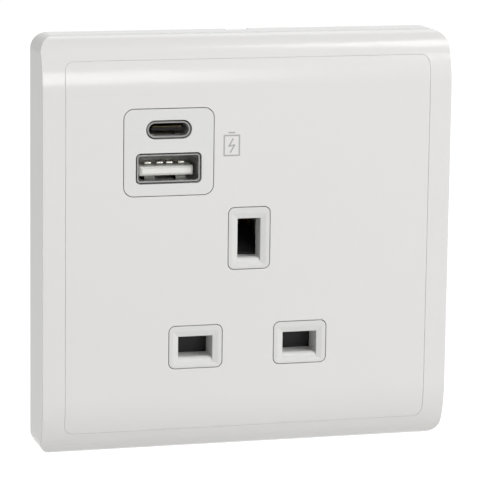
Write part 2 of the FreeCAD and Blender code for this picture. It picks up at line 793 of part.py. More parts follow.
def make_clamp_screw(x, wire_radius):
    """Slotted terminal screw, backed out so that the wire bore is clear."""
    tip = bore_depth + wire_radius + clamp_tip_gap
    under_head = tip + clamp_reach
    top = under_head + clamp_head_height
    shank = rod_y(x, clamp_height, clamp_radius, (tip, under_head))
    head = rod_y(x, clamp_height, clamp_head_radius, (under_head, top))
    screw = shank.fuse(head).removeSplitter()
    slot = block((x - clamp_head_radius - overrun, x + clamp_head_radius + overrun),
                 (top - screw_slot_depth, top + overrun),
                 (clamp_height - screw_slot / 2, clamp_height + screw_slot / 2))
    return screw.cut(slot)


def make_housing_screws():
    """The four screws that hold the housing, driven from behind."""
    screws = []
    for x, z in post_places:
        shank = rod_y(x, z, screw_radius, (-screw_bite, well_floor))
        head = rod_y(x, z, screw_head_radius, (well_floor, well_floor + screw_head_height))
        body = shank.fuse(head).removeSplitter()
        top = well_floor + screw_head_height
        arms = []
        for long_x, long_z in ((1, 0), (0, 1)):
            half_x = screw_slot / 2 + long_x * screw_cross
            half_z = screw_slot / 2 + long_z * screw_cross
            arms.append(block((x - half_x, x + half_x), (top - screw_slot_depth, top + overrun),
                              (z - half_z, z + half_z)))
        screws.append(body.cut(arms))
    return Part.makeCompound(screws)


def terminal_seats():
    """Moulded blocks under the terminals, as solids."""
    seats = []
    depth = (terminal_front, terminal_back)
    height = (core_floor - housing_wall / 2, terminal_foot)
    for x in both_sides(terminal_spread):
        half = mains_terminal_width / 2
        seats.append(block((x - half, x + half), depth, height))
    half = earth_terminal_width / 2
    seats.append(block((-half - fit_gap, half + fit_gap), depth, height))
    return seats


def wire_mouths():
    """Openings through the foot of the housing, one under each terminal."""
    mouths = []
    span_y = (terminal_front + wire_mouth_wall, terminal_back - wire_mouth_wall)
    span_z = (-core_half_height - overrun, terminal_foot + overrun)
    for x, width in ((-terminal_spread, mains_terminal_width), (terminal_spread, mains_terminal_width),
                     (0, earth_terminal_width)):
        half = width / 2 - wire_mouth_wall
        mouth = block((x - half, x + half), span_y, span_z)
        upright = [e for e in mouth.Edges if e.BoundBox.ZLength > overrun]
        mouths.append(mouth.makeFillet(wire_mouth_corner, upright))
    return mouths


def make_rear_housing():
    """Deep rear moulding: dividers, contact chambers, seats, screw wells and entries."""
    shell = take_away(core_prism(0, (0, housing_depth)),
                      [core_prism(housing_wall, (-overrun, housing_inside))])
    inside = terminal_seats()
    divider = earth_terminal_width / 2 + fit_gap
    rest = blade_back + slide_gap
    back = housing_inside + housing_wall / 2
    for side in (-1, 1):
        wall_x = ordered(side * divider, side * (divider + divider_thickness))
        inside.append(block(wall_x, (rest, back), (core_floor - housing_wall / 2, divider_top)))
        shelf_x = ordered(side * divider, side * (terminal_spread - mains_terminal_width / 2))
        for level in both_sides(chamber_half_height + divider_thickness / 2):
            middle = mains_height + level
            inside.append(block(shelf_x, (rest, back),
                                (middle - divider_thickness / 2, middle + divider_thickness / 2)))
        stop = side * pin_offset
        inside.append(block((stop - backstop / 2, stop + backstop / 2), (terminal_front, back),
                            (mains_height - backstop / 2, mains_height + backstop / 2)))
        cheek = ordered(side * earth_chamber_half_width,
                        side * (earth_chamber_half_width + divider_thickness))
        inside.append(block(cheek, (stem_back + slide_gap, back),
                            (earth_chamber_foot, earth_chamber_top)))
    inside.append(block((-divider, divider), (stem_back + slide_gap, stem_back + slide_gap + bridge_thickness),
                        (divider_top - bridge_height, divider_top)))
    reach = earth_chamber_half_width + divider_thickness
    inside.append(block((-reach, reach), (stem_back + slide_gap, back),
                        (earth_chamber_top, earth_chamber_top + divider_thickness)))
    inside.append(block((-backstop / 2, backstop / 2), (earth_web + strip, back),
                        (earth_height - backstop / 2, earth_height + backstop / 2)))
    inside.extend(board_ledges(back))
    for x, z in post_places:
        inside.append(rod_y(x, z, well_radius, (0, back)))
    room = join([core_prism(core_wall + fit_gap, (collar_end, 0)), core_prism(housing_wall / 2, (0, back))])
    body = join([shell, join(inside).common(room)])
    cuts = wire_mouths()
    for x, z in post_places:
        cuts.append(rod_y(x, z, screw_radius + play, (-overrun, well_floor + overrun)))
        cuts.append(rod_y(x, z, well_bore, (well_floor, housing_depth + overrun)))
    for x in both_sides(terminal_spread) + both_sides(earth_bore_spread):
        cuts.append(rod_y(x, clamp_height, clamp_head_radius + clamp_access_gap,
                          (terminal_back, housing_depth + overrun)))
    return take_away(body, cuts)


def board_ledges(back):
    """Ledges that the charger board rests against, on the walls of the housing."""
    side_wall = core_half_width - housing_wall
    top_wall = core_half_height - housing_wall
    step = waist_half_height + housing_wall
    half = ledge_width / 2
    middle = (board_foot + board_top) / 2
    ledges = []
    for side in (-1, 1):
        across = ordered(side * (side_wall - ledge), side * (side_wall + housing_wall / 2))
        ledges.append(block(across, (board_back, back), (middle - half, middle + half)))
        corner = side * waist_half_width
        ledges.append(block((corner - half, corner + half), (board_back, back),
                            (step - housing_wall / 2, board_foot + corner_ledge_rise)))
    ledges.append(block((top_ledge_place - half, top_ledge_place + half), (board_back, back),
                        (board_top - top_ledge_drop, top_wall + housing_wall / 2)))
    return ledges


def make_usb_face():
    """Insert that frames the two charging ports, set in from behind."""
    face = slab(port_centre_x, port_face_height, port_face_width, port_face_tall,
                port_face_corner, (front, roof_back))
    ledge_plate = slab(port_centre_x, port_face_height, port_face_width + 2 * (port_flange + hairline),
                       port_face_tall + 2 * (port_flange + hairline), port_face_corner + port_flange,
                       (roof_back, roof_back + port_flange_thickness))
    holes = []
    for z, width, height, corner in ((a_centre_z, a_width, a_height, a_corner),
                                     (c_centre_z, c_width, c_height, c_height / 2)):
        holes.append(slab(port_centre_x, z, width + 2 * port_clearance, height + 2 * port_clearance,
                          corner + port_clearance, (front - overrun, 0)))
    return take_away(join([face, ledge_plate]), holes)


def shell_tube(z, width, height, corner):
    """Folded metal shell of a connector, with two solder tabs through the board."""
    outer = slab(port_centre_x, z, width, height, corner, (shell_front, board_front))
    inner = slab(port_centre_x, z, width - 2 * shell_metal, height - 2 * shell_metal,
                 corner - shell_metal, (shell_front - overrun, board_front + overrun))
    tube = outer.cut(inner)
    return join([tube] + solder_tabs(z, width, 0))


def solder_tabs(z, width, gap):
    """Tabs of a shell, or with a gap the slots for them in the board."""
    tabs = []
    for side in (-1, 1):
        edge = port_centre_x + side * width / 2
        across = ordered(edge + side * gap, edge - side * (shell_metal + gap))
        tabs.append(block(across, (board_front - gap, board_front + leg_tab_length),
                          (z - leg_tab / 2 - gap, z + leg_tab / 2 + gap)))
    return tabs


def make_usb_a_shell():
    """Shell of the wide port, with spring fingers cut in its roof and floor."""
    tube = shell_tube(a_centre_z, a_width, a_height, a_corner)
    slots = []
    for side in (-1, 1):
        x = port_centre_x + side * a_width / 4
        for level in (-1, 1):
            z = a_centre_z + level * a_height / 2
            through = (z - finger_cut, z + finger_cut)
            for edge in (-1, 1):
                near = x + edge * finger_width / 2
                far = near + edge * finger_slit
                slots.append(block(ordered(near, far), (shell_front + finger_start, shell_front + finger_end),
                                   through))
            half = finger_width / 2 + finger_slit
            slots.append(block((x - half, x + half),
                               (shell_front + finger_end - finger_slit, shell_front + finger_end), through))
    return tube.cut(slots)


def make_usb_c_shell():
    """Shell of the narrow port, with windows in its roof and floor."""
    tube = shell_tube(c_centre_z, c_width, c_height, c_height / 2)
    windows = []
    for place in c_slot_places:
        x = port_centre_x + place
        for level in (-1, 1):
            z = c_centre_z + level * c_height / 2
            windows.append(block((x - c_slot_width / 2, x + c_slot_width / 2),
                                 (shell_front + c_slot_start, shell_front + c_slot_end),
                                 (z - shell_metal - play, z + shell_metal + play)))
    return take_away(tube, windows)


def make_usb_a_tongue():
    """Moulded tongue of the wide port on its base."""
    floor = a_centre_z - a_height / 2 + shell_metal
    low = floor + a_tongue_rise
    tongue = block((port_centre_x - a_tongue_width / 2, port_centre_x + a_tongue_width / 2),
                   (shell_front + a_tongue_set_back, board_front - connector_base),
                   (low, low + a_tongue_thickness))
    nose = [edge for edge in tongue.Edges if edge.BoundBox.YMax < shell_front + a_tongue_set_back + play]
    tongue = tongue.makeChamfer(a_tongue_chamfer, nose)
    base = slab(port_centre_x, a_centre_z, a_width - 2 * shell_metal, a_height - 2 * shell_metal,
                a_corner - shell_metal, (board_front - connector_base, board_front))
    return join([tongue, base])


def make_usb_a_contacts():
    """The four springy contacts on the wide port's tongue."""
    top = a_centre_z - a_height / 2 + shell_metal + a_tongue_rise + a_tongue_thickness
    near = shell_front + a_tongue_set_back + a_contact_set_back
    far = board_front - connector_base
    level = top + a_contact_thickness / 2
    crest, foot = a_contact_reach
    path = [(near, level), (near + crest, level + a_contact_hump), (near + foot, level), (far, level)]
    contacts = []
    for place in a_contact_places:
        x = port_centre_x + place - a_contact_width / 2
        lift = lambda y, z: V(x, y, z)
        face = strip_face(path, a_contact_thickness, a_contact_thickness, lift)
        contacts.append(face.extrude(V(a_contact_width, 0, 0)))
    return Part.makeCompound(contacts)


def make_usb_c_tongue():
    """Thin tongue of the narrow port, with its thicker root and base."""
    half = c_tongue_thickness / 2
    tongue = slab(port_centre_x, c_centre_z, c_tongue_width, c_tongue_thickness, half / 2,
                  (shell_front + c_tongue_set_back, board_front - connector_base))
    root = slab(port_centre_x, c_centre_z, c_tongue_width, 2 * c_tongue_thickness, half,
                (board_front - connector_base - c_root_length, board_front - connector_base))
    inner_height = c_height - 2 * shell_metal
    base = slab(port_centre_x, c_centre_z, c_width - 2 * shell_metal, inner_height,
                inner_height / 2, (board_front - connector_base, board_front))
    return join([tongue, root, base])


def make_usb_c_contacts():
    """Two rows of flat contacts on the narrow port's tongue."""
    near = shell_front + c_tongue_set_back + c_contact_set_back
    far = board_front - connector_base - c_root_length
    contacts = []
    for side in (-1, 1):
        face = c_centre_z + side * c_tongue_thickness / 2
        level = ordered(face, face + side * c_contact_thickness)
        for number in range(c_contact_count):
            x = port_centre_x + (number - (c_contact_count - 1) / 2) * c_contact_pitch
            contacts.append(block((x - c_contact_width / 2, x + c_contact_width / 2), (near, far), level))
    return Part.makeCompound(contacts)


def make_usb_board():
    """Charger board, notched round the screw wells and slotted for the port tabs."""
    middle = (board_foot + board_top) / 2
    board = slab(0, middle, 2 * board_half_width, board_top - board_foot, board_corner,
                 (board_front, board_back))
    cuts = []
    for x, z in post_places:
        cuts.append(rod_y(x, z, well_radius + fit_gap, (board_front - overrun, board_back + overrun)))
    cuts.extend(solder_tabs(a_centre_z, a_width, play))
    cuts.extend(solder_tabs(c_centre_z, c_width, play))
    return take_away(board, cuts)


def make_transformer_core():
    """Ferrite core: a closed frame with its middle leg through the winding."""
    width, height, depth = core_ferrite
    x, z = core_centre
    span = (x - width / 2, x + width / 2)
    rise = (z - height / 2, z + height / 2)
    middle = board_back + bobbin_flange + depth / 2
    body = block(span, (middle - core_leg, middle + core_leg), rise)
    windows = []
    for side in (-1, 1):
        inner = side * core_leg / 2
        outer = side * (width / 2 - core_leg)
        windows.append(block(ordered(x + inner, x + outer), (board_back, board_back + 2 * depth),
                             (z - height / 2 + core_leg, z + height / 2 - core_leg)))
    return take_away(body, windows)


def make_transformer_winding():
    """Bobbin with its winding, wrapped round the middle leg."""
    width, height, depth = core_ferrite
    x, z = core_centre
    inner_height = height - 2 * core_leg
    reach_x = width / 2 - core_leg
    middle = board_back + bobbin_flange + depth / 2
    low = z - inner_height / 2
    high = z + inner_height / 2
    outer_y = (board_back + bobbin_flange, board_back + bobbin_flange + depth)
    winding = block((x - reach_x, x + reach_x), outer_y, (low, high))
    rounded = [e for e in winding.Edges if e.BoundBox.ZLength > inner_height / 2]
    winding = winding.makeFillet(winding_corner, rounded)
    feet = block((x - reach_x, x + reach_x), (board_back, board_back + bobbin_flange + bobbin_foot),
                 (low, high))
    leg = block((x - core_leg / 2, x + core_leg / 2), (middle - core_leg, middle + core_leg),
                (low - overrun, high + overrun))
    return take_away(join([winding, feet]), [leg])


def make_can(x, z, radius, length):
    """Capacitor can with its rolled groove and chamfered top."""
    can = rod_y(x, z, radius, (board_back, board_back + length))
    rim = [e for e in can.Edges if e.BoundBox.YMin > board_back + length - play]
    can = can.makeChamfer(radius / 8, rim)
    low = board_back + capacitor_groove_place
    groove = (low, low + 2 * capacitor_groove)
    ring = rod_y(x, z, radius + overrun, groove).cut(rod_y(x, z, radius - capacitor_groove, groove))
    return can.cut(ring)


def make_cans(x, z, step, radius, length):
    """Two like capacitors, the second one a step away from the first."""
    places = [(x, z), (x + step[0], z + step[1])]
    return Part.makeCompound([make_can(*place, radius, length) for place in places])


def make_inductor():
    """Drum inductor with a drawn-in waist."""
    x, z = inductor_centre
    drum = rod_y(x, z, inductor_radius, (board_back, board_back + inductor_length))
    cheek = inductor_length / 6
    ring = rod_y(x, z, inductor_radius + overrun, (board_back + cheek, board_back + inductor_length - cheek))
    ring = ring.cut(rod_y(x, z, inductor_radius - inductor_waist, (board_back, board_back + inductor_length)))
    return drum.cut(ring)


def make_chip(name):
    """Moulded chip with a row of bent legs on each side."""
    x, z, width, height, depth = chip_sizes[name]
    body = block((x - width / 2, x + width / 2), (board_back, board_back + depth),
                 (z - height / 2, z + height / 2))
    count = int(width // chip_leg_pitch)
    legs = []
    for number in range(count):
        place = x + (number - (count - 1) / 2) * chip_leg_pitch
        for side in (-1, 1):
            edge = z + side * height / 2
            legs.append(block((place - chip_leg / 2, place + chip_leg / 2),
                              (board_back, board_back + depth / 3),
                              ordered(edge - side * chip_leg_root, edge + side * chip_leg_reach)))
    return join([body] + legs)


def make_disc_capacitor():
    """Disc capacitor standing on edge."""
    x, z = disc_centre
    middle = board_back + disc_radius
    disc = rod_x(middle, z, disc_radius, (x - disc_thickness / 2, x + disc_thickness / 2))
    disc = disc.makeFillet(disc_thickness / 3, [e for e in disc.Edges if e.Curve.TypeId == "Part::GeomCircle"])
    foot = block((x - disc_thickness / 4, x + disc_thickness / 4), (board_back, middle),
                 (z - disc_radius / 2, z + disc_radius / 2))
    return join([disc, foot])


def make_fuse_resistor():
    """Fusible resistor lying on the board between its two legs."""
    x, z = fuse_centre
    middle = board_back + fuse_radius
    body = rod_x(middle, z, fuse_radius, (x - fuse_length / 2, x + fuse_length / 2))
    return body.makeFillet(fuse_radius / 3, [e for e in body.Edges if e.Curve.TypeId == "Part::GeomCircle"])


def make_lead(side):
    """Insulated lead from a mains contact up to the charger board."""
    x = side * lead_place
    low_y = mains_web - lead_radius
    high_y = board_back + lead_radius
    points = [V(x, low_y, lead_foot), V(x, low_y, lead_rise),
              V(x, high_y, board_foot), V(x, high_y, lead_top)]
    return round_tube(points, lead_radius)


def round_tube(points, radius):
    """Tube along straight runs joined by tangent arcs."""
    edges = []
    here = points[0]
    for number in range(1, len(points) - 1):
        corner = points[number]
        before = corner - points[number - 1]
        after = points[number + 1] - corner
        shorter = min(before.Length, after.Length)
        half_turn = before.getAngle(after) / 2
        back_off = lead_bend * shorter
        before.normalize()
        after.normalize()
        start = corner - before * back_off
        end = corner + after * back_off
        bend = back_off / math.tan(half_turn)
        towards = after - before
        towards.normalize()
        middle = corner + towards * (bend / math.cos(half_turn) - bend)
        edges.append(Part.LineSegment(here, start).toShape())
        edges.append(Part.Arc(start, middle, end).toShape())
        here = end
    edges.append(Part.LineSegment(here, points[-1]).toShape())
    path = Part.Wire(edges)
    profile = Part.Wire(Part.makeCircle(radius, points[0], points[1] - points[0]))
    return path.makePipeShell([profile], True, False)


def all_parts():
    """Every piece of the socket, by name."""
    return {
        "surround_frame": make_surround(),
        "front_plate": make_front_plate(),
        "base_plate": make_base_plate(),
        "rear_housing": make_rear_housing(),
        "housing_screws": make_housing_screws(),
        "shutter": make_shutter(),
        "shutter_spring": make_shutter_spring(),
        "line_contact": make_mains_contact(1),
        "neutral_contact": make_mains_contact(-1),
        "earth_contact": make_earth_contact(),
        "line_terminal": make_mains_terminal(1),
        "neutral_terminal": make_mains_terminal(-1),
        "earth_terminal": make_earth_terminal(),
        "line_screw": make_clamp_screw(terminal_spread, mains_wire_radius),
        "neutral_screw": make_clamp_screw(-terminal_spread, mains_wire_radius),
        "earth_screw_right": make_clamp_screw(earth_bore_spread, earth_wire_radius),
        "earth_screw_left": make_clamp_screw(-earth_bore_spread, earth_wire_radius),
        "line_lead": make_lead(1),
        "neutral_lead": make_lead(-1),
        "usb_face": make_usb_face(),
        "usb_a_shell": make_usb_a_shell(),
        "usb_a_tongue": make_usb_a_tongue(),
        "usb_a_contacts": make_usb_a_contacts(),
        "usb_c_shell": make_usb_c_shell(),
        "usb_c_tongue": make_usb_c_tongue(),
        "usb_c_contacts": make_usb_c_contacts(),
        "usb_board": make_usb_board(),
        "transformer_core": make_transformer_core(),
        "transformer_winding": make_transformer_winding(),
        "input_capacitors": make_cans(input_capacitor_x, input_capacitor_foot, input_capacitor_step,
                                      input_capacitor_radius, input_capacitor_length),
        "output_capacitors": make_cans(output_capacitor_x, output_capacitor_z, output_capacitor_step,
                                       output_capacitor_radius, output_capacitor_length),
        "inductor": make_inductor(),
        "bridge_rectifier": make_chip("bridge_rectifier"),
        "controller_chip": make_chip("controller_chip"),
        "output_rectifier": make_chip("output_rectifier"),
        "disc_capacitor": make_disc_capacitor(),
        "fuse_resistor": make_fuse_resistor(),
    }


os.makedirs("parts", exist_ok=True)
for name, shape in all_parts().items():
    shape.exportStep(os.path.join("parts", name + ".step"))
    print(name, len(shape.Solids), "solids", round(shape.Volume, 1), "mm3", shape.isValid())
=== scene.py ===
"""Looks of a wall socket with two charging ports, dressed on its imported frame."""

import logging
import math
from dataclasses import dataclass
from enum import Enum

import bmesh
import bpy
from mathutils import Matrix, Vector


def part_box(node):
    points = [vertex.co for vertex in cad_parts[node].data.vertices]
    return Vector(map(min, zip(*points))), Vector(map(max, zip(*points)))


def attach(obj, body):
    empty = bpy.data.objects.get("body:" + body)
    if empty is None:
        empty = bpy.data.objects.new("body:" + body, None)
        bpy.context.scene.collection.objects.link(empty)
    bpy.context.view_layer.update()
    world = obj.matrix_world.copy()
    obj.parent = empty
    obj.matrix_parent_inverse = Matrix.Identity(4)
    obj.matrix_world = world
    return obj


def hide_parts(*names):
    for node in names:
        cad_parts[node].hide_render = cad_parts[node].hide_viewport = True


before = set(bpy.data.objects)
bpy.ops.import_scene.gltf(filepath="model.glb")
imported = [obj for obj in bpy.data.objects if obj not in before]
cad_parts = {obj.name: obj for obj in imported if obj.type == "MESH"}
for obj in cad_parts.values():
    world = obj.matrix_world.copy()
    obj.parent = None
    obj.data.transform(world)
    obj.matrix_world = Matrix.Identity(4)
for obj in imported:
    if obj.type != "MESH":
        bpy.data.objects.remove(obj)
LOG = logging.getLogger("wall_socket")
MM = 0.001
Colour = tuple[float, float, float, float]
BRIGHT: Colour = (1.0, 1.0, 1.0, 1.0)


def mm(*sizes: float) -> Vector:
    """Returns a place given in millimetres as a vector in metres."""
    return Vector(sizes) * MM


def direction(azimuth: float, elevation: float) -> Vector:
    """Finds the way from the socket to a lamp or the camera.

    Args:
        azimuth: Degrees from straight in front, to the right.
        elevation: Degrees above the level.

    Returns:
        The way, one metre long.
    """
    turn, rise = math.radians(azimuth), math.radians(elevation)
    level = math.cos(rise)
    return Vector((math.sin(turn) * level, -math.cos(turn) * level, math.sin(rise)))


def placed(name: str, data: bpy.types.ID) -> bpy.types.Object:
    """Puts new data into the scene.

    Args:
        name: The object's name.
        data: Its mesh, lamp or camera.

    Returns:
        The new object.
    """
    item = bpy.data.objects.new(name, data)
    bpy.context.scene.collection.objects.link(item)
    return item


def join_rings(shape: bmesh.types.BMesh, near: list[bmesh.types.BMVert],
               far: list[bmesh.types.BMVert]) -> None:
    """Adds the faces between two rings of points.

    Args:
        shape: The mesh that holds them.
        near: One ring.
        far: The next ring, with as many points.
    """
    for index in range(len(near)):
        after = (index + 1) % len(near)
        shape.faces.new((near[index], near[after], far[after], far[index]))


def add_sleeve(shape: bmesh.types.BMesh, rings: list[list[bmesh.types.BMVert]]) -> None:
    """Adds a closed body along a row of rings.

    Args:
        shape: The mesh that holds them.
        rings: The rings, from one end to the other.
    """
    for near, far in zip(rings, rings[1:]):
        join_rings(shape, near, far)
    shape.faces.new(reversed(rings[0]))
    shape.faces.new(rings[-1])


class Axis(Enum):
    """Directions of the socket's frame."""

    RIGHT = Vector((1.0, 0.0, 0.0))
    INTO_WALL = Vector((0.0, 1.0, 0.0))
    UP = Vector((0.0, 0.0, 1.0))


class Mark(Enum):
    """Signs moulded or printed on the socket, as strokes in a unit square."""

    LINE = (((0.2, 0.0), (0.2, 1.0)), ((0.2, 0.0), (0.75, 0.0)))
    NEUTRAL = (((0.15, 0.0), (0.15, 1.0)), ((0.15, 1.0), (0.85, 0.0)), ((0.85, 0.0), (0.85, 1.0)))
    EARTH = (
        ((0.5, 1.0), (0.5, 0.5)),
        ((0.0, 0.5), (1.0, 0.5)),
        ((0.2, 0.25), (0.8, 0.25)),
        ((0.38, 0.0), (0.62, 0.0)),
    )
    BATTERY = (
        ((0.12, 0.05), (0.88, 0.05)),
        ((0.88, 0.05), (0.88, 0.84)),
        ((0.88, 0.84), (0.12, 0.84)),
        ((0.12, 0.84), (0.12, 0.05)),
        ((0.36, 0.95), (0.64, 0.95)),
        ((0.56, 0.70), (0.36, 0.42)),
        ((0.36, 0.42), (0.64, 0.46)),
        ((0.64, 0.46), (0.44, 0.18)),
    )


@dataclass(frozen=True)
class Stamp:
    """One mark on a surface: where it stands and how big it is. Sizes in millimetres."""

    mark: Mark
    centre_x: float
    centre_z: float
    width: float
    height: float
    stroke: float
    mirrored: bool = False

    def strokes(self) -> list[tuple[Vector, Vector]]:
        """Lays the mark's strokes in the plane of the front.

        Returns:
            The ends of each stroke, in metres.
        """
        ends = []
        hand = -1.0 if self.mirrored else 1.0
        for start, end in self.mark.value:
            row = []
            for across, up in (start, end):
                x = self.centre_x + hand * (across - 0.5) * self.width
                row.append(mm(x, 0.0, self.centre_z + (up - 0.5) * self.height))
            ends.append((row[0], row[1]))
        return ends


class Nodes:
    """Adds and links the nodes of a material or a world."""

    def __init__(self, owner: bpy.types.Material | bpy.types.World, output: str) -> None:
        """Starts an empty node tree.

        Args:
            owner: The material or world.
            output: The type of its output node.
        """
        owner.use_nodes = True
        self.tree = owner.node_tree
        self.tree.nodes.clear()
        self.output = self.tree.nodes.new(output)

    def add(self, kind: str, **settings: object) -> bpy.types.Node:
        """Adds a node.

        Args:
            kind: The node's type.
            settings: Properties of the node.

        Returns:
            The new node.
        """
        node = self.tree.nodes.new(kind)
        for key, value in settings.items():
            setattr(node, key, value)
        return node

    def feed(self, node: bpy.types.Node, socket: str | int, value: object) -> None:
        """Sets a socket from a number or colour, or links another node's socket to it.

        Args:
            node: The node that is fed.
            socket: The input's name or place.
            value: A constant or an output socket.
        """
        if isinstance(value, bpy.types.NodeSocket):
            self.tree.links.new(value, node.inputs[socket])
        else:
            node.inputs[socket].default_value = value

    def seen_directly(self) -> bpy.types.NodeSocket:
        """Tells rays that look at the studio from rays that light the pieces.

        Returns:
            1 for what the camera, gloss and glass see, and 0 for the light on pieces.
        """
        path = self.add("ShaderNodeLightPath").outputs
        seen = self.combine("MAXIMUM", path["Is Camera Ray"], path["Is Glossy Ray"])
        return self.combine("MAXIMUM", seen, path["Is Transmission Ray"])

    def span(self, value: bpy.types.NodeSocket, low: float, high: float,
             start: float = 0.3, end: float = 0.7) -> bpy.types.NodeSocket:
        """Maps a value to a new range.

        Args:
            value: The value.
            low: The result at start.
            high: The result at end.
            start: Where the range starts.
            end: Where it ends.

        Returns:
            The mapped value, clamped.
        """
        node = self.add("ShaderNodeMapRange")
        self.feed(node, "Value", value)
        self.feed(node, "From Min", start)
        self.feed(node, "From Max", end)
        self.feed(node, "To Min", low)
        self.feed(node, "To Max", high)
        return node.outputs["Result"]

    def combine(self, operation: str, first: object, second: object) -> bpy.types.NodeSocket:
        """Combines two values with one Math node.

        Args:
            operation: The Math node's operation.
            first: A number or socket.
            second: A number or socket.

        Returns:
            The result.
        """
        node = self.add("ShaderNodeMath", operation=operation)
        self.feed(node, 0, first)
        self.feed(node, 1, second)
        return node.outputs[0]


class Shading(Nodes):
    """The nodes of one material, laid out in metres of the socket's frame."""

    bevel_samples: int = 6
    # Sockets of a Mix node that mixes colours.
    first_colour: int = 6
    second_colour: int = 7
    mixed_colour: int = 2

    def __init__(self, name: str) -> None:
        """Starts an empty material of that name."""
        self.material = bpy.data.materials.new(name)
        super().__init__(self.material, "ShaderNodeOutputMaterial")

    def place(self) -> bpy.types.NodeSocket:
        """Returns the point on the piece."""
        return self.add("ShaderNodeTexCoord").outputs["Object"]

    def stretched(self, place: bpy.types.NodeSocket, scale: Vector) -> bpy.types.NodeSocket:
        """Scales a place.

        Args:
            place: The place to scale.
            scale: The factor along each axis.

        Returns:
            The scaled place.
        """
        node = self.add("ShaderNodeVectorMath", operation="MULTIPLY")
        self.feed(node, 0, place)
        self.feed(node, 1, scale)
        return node.outputs[0]

    def noise(self, place: bpy.types.NodeSocket, scale: float,
              detail: float) -> bpy.types.NodeSocket:
        """Adds a noise texture.

        Args:
            place: Where it is read.
            scale: Its waves per metre.
            detail: Its finer layers.

        Returns:
            Its value, about 0.5 on average.
        """
        node = self.add("ShaderNodeTexNoise")
        self.feed(node, "Vector", place)
        self.feed(node, "Scale", scale)
        self.feed(node, "Detail", detail)
        return node.outputs["Fac"]

    def blend(self, share: bpy.types.NodeSocket, first: object,
              second: object) -> bpy.types.NodeSocket:
        """Mixes two colours.

        Args:
            share: How much of the second shows.
            first: A colour or socket.
            second: A colour or socket.

        Returns:
            The mixed colour.
        """
        node = self.add("ShaderNodeMix", data_type="RGBA")
        self.feed(node, 0, share)
        self.feed(node, self.first_colour, first)
        self.feed(node, self.second_colour, second)
        return node.outputs[self.mixed_colour]

    def stroke_distance(self, place: bpy.types.NodeSocket, start: Vector,
                        end: Vector) -> bpy.types.NodeSocket:
        """Measures how far a place is from a straight stroke.

        Args:
            place: The place, already laid flat.
            start: One end of the stroke.
            end: The other end.

        Returns:
            The distance in metres.
        """
        along = end - start
        offset = self.add("ShaderNodeVectorMath", operation="SUBTRACT")
        self.feed(offset, 0, place)
        self.feed(offset, 1, start)
        dot = self.add("ShaderNodeVectorMath", operation="DOT_PRODUCT")
        self.feed(dot, 0, offset.outputs[0])
        self.feed(dot, 1, along / along.length_squared)
        share = self.add("ShaderNodeClamp")
        self.feed(share, "Value", dot.outputs["Value"])
        nearest = self.add("ShaderNodeVectorMath", operation="SCALE")
        self.feed(nearest, 0, along)
        self.feed(nearest, "Scale", share.outputs[0])
        gap = self.add("ShaderNodeVectorMath", operation="DISTANCE")
        self.feed(gap, 0, offset.outputs[0])
        self.feed(gap, 1, nearest.outputs[0])
        return gap.outputs["Value"]

    def print_mask(self, stamp: Stamp, blur: float = 0.2) -> bpy.types.NodeSocket:
        """Covers the strokes of a mark that is printed on the front.

        Args:
            stamp: The mark.
            blur: How soft the edge of a stroke is, as a share of its half width.

        Returns:
            1 on a stroke and 0 beside it.
        """
        flat = self.stretched(self.place(), Vector((1.0, 0.0, 1.0)))
        half = stamp.stroke * MM / 2
        mask = None
        for start, end in stamp.strokes():
            distance = self.stroke_distance(flat, start, end)
            inside = self.span(distance, 1.0, 0.0, half * (1.0 - blur), half * (1.0 + blur))
            mask = inside if mask is None else self.combine("MAXIMUM", mask, inside)
        return self.combine("MULTIPLY", mask, self.front_faces())

    def front_faces(self, least: float = 0.9) -> bpy.types.NodeSocket:
        """Finds the faces that look to the front.

        Args:
            least: How far a face may turn away, as the cosine of the angle.

        Returns:
            1 on such a face and 0 elsewhere.
        """
        turned = self.add("ShaderNodeVectorMath", operation="DOT_PRODUCT")
        self.feed(turned, 0, self.add("ShaderNodeNewGeometry").outputs["True Normal"])
        self.feed(turned, 1, -Axis.INTO_WALL.value)
        return self.combine("GREATER_THAN", turned.outputs["Value"], least)

    def relief(self, height: bpy.types.NodeSocket, depth: float,
               edge: float) -> bpy.types.NodeSocket:
        """Turns a height into a surface normal, with edges that catch the light.

        Args:
            height: The height, 0 to 1.
            depth: What a height of 1 stands for, in metres.
            edge: The radius of the piece's edges, in metres.

        Returns:
            The normal.
        """
        rounding = self.add("ShaderNodeBevel", samples=self.bevel_samples)
        self.feed(rounding, "Radius", edge)
        bump = self.add("ShaderNodeBump")
        self.feed(bump, "Strength", 1.0)
        self.feed(bump, "Distance", depth)
        self.feed(bump, "Height", height)
        self.feed(bump, "Normal", rounding.outputs[0])
        return bump.outputs[0]

    def finish(self, **inputs: object) -> bpy.types.Material:
        """Adds the surface shader and closes the material.

        Args:
            inputs: Its sockets, by name with _ for spaces.

        Returns:
            The finished material.
        """
        shader = self.add("ShaderNodeBsdfPrincipled")
        for name, value in inputs.items():
            self.feed(shader, name.replace("_", " "), value)
        self.feed(self.output, 0, shader.outputs[0])
        return self.material


def tone(red: int, green: int, blue: int) -> Colour:
    """Turns a colour as seen on a screen into the shader's colour.

    Args:
        red: 0 to 255.
        green: 0 to 255.
        blue: 0 to 255.

    Returns:
        The linear colour with full cover.
    """
    linear = []
    for value in (red, green, blue):
        share = value / 255
        linear.append(share / 12.92 if share <= 0.04045 else ((share + 0.055) / 1.055) ** 2.4)
    return (linear[0], linear[1], linear[2], 1.0)


def shaded(colour: Colour, factor: float) -> Colour:
    """Returns a colour made lighter or darker by a factor."""
    return (colour[0] * factor, colour[1] * factor, colour[2] * factor, 1.0)


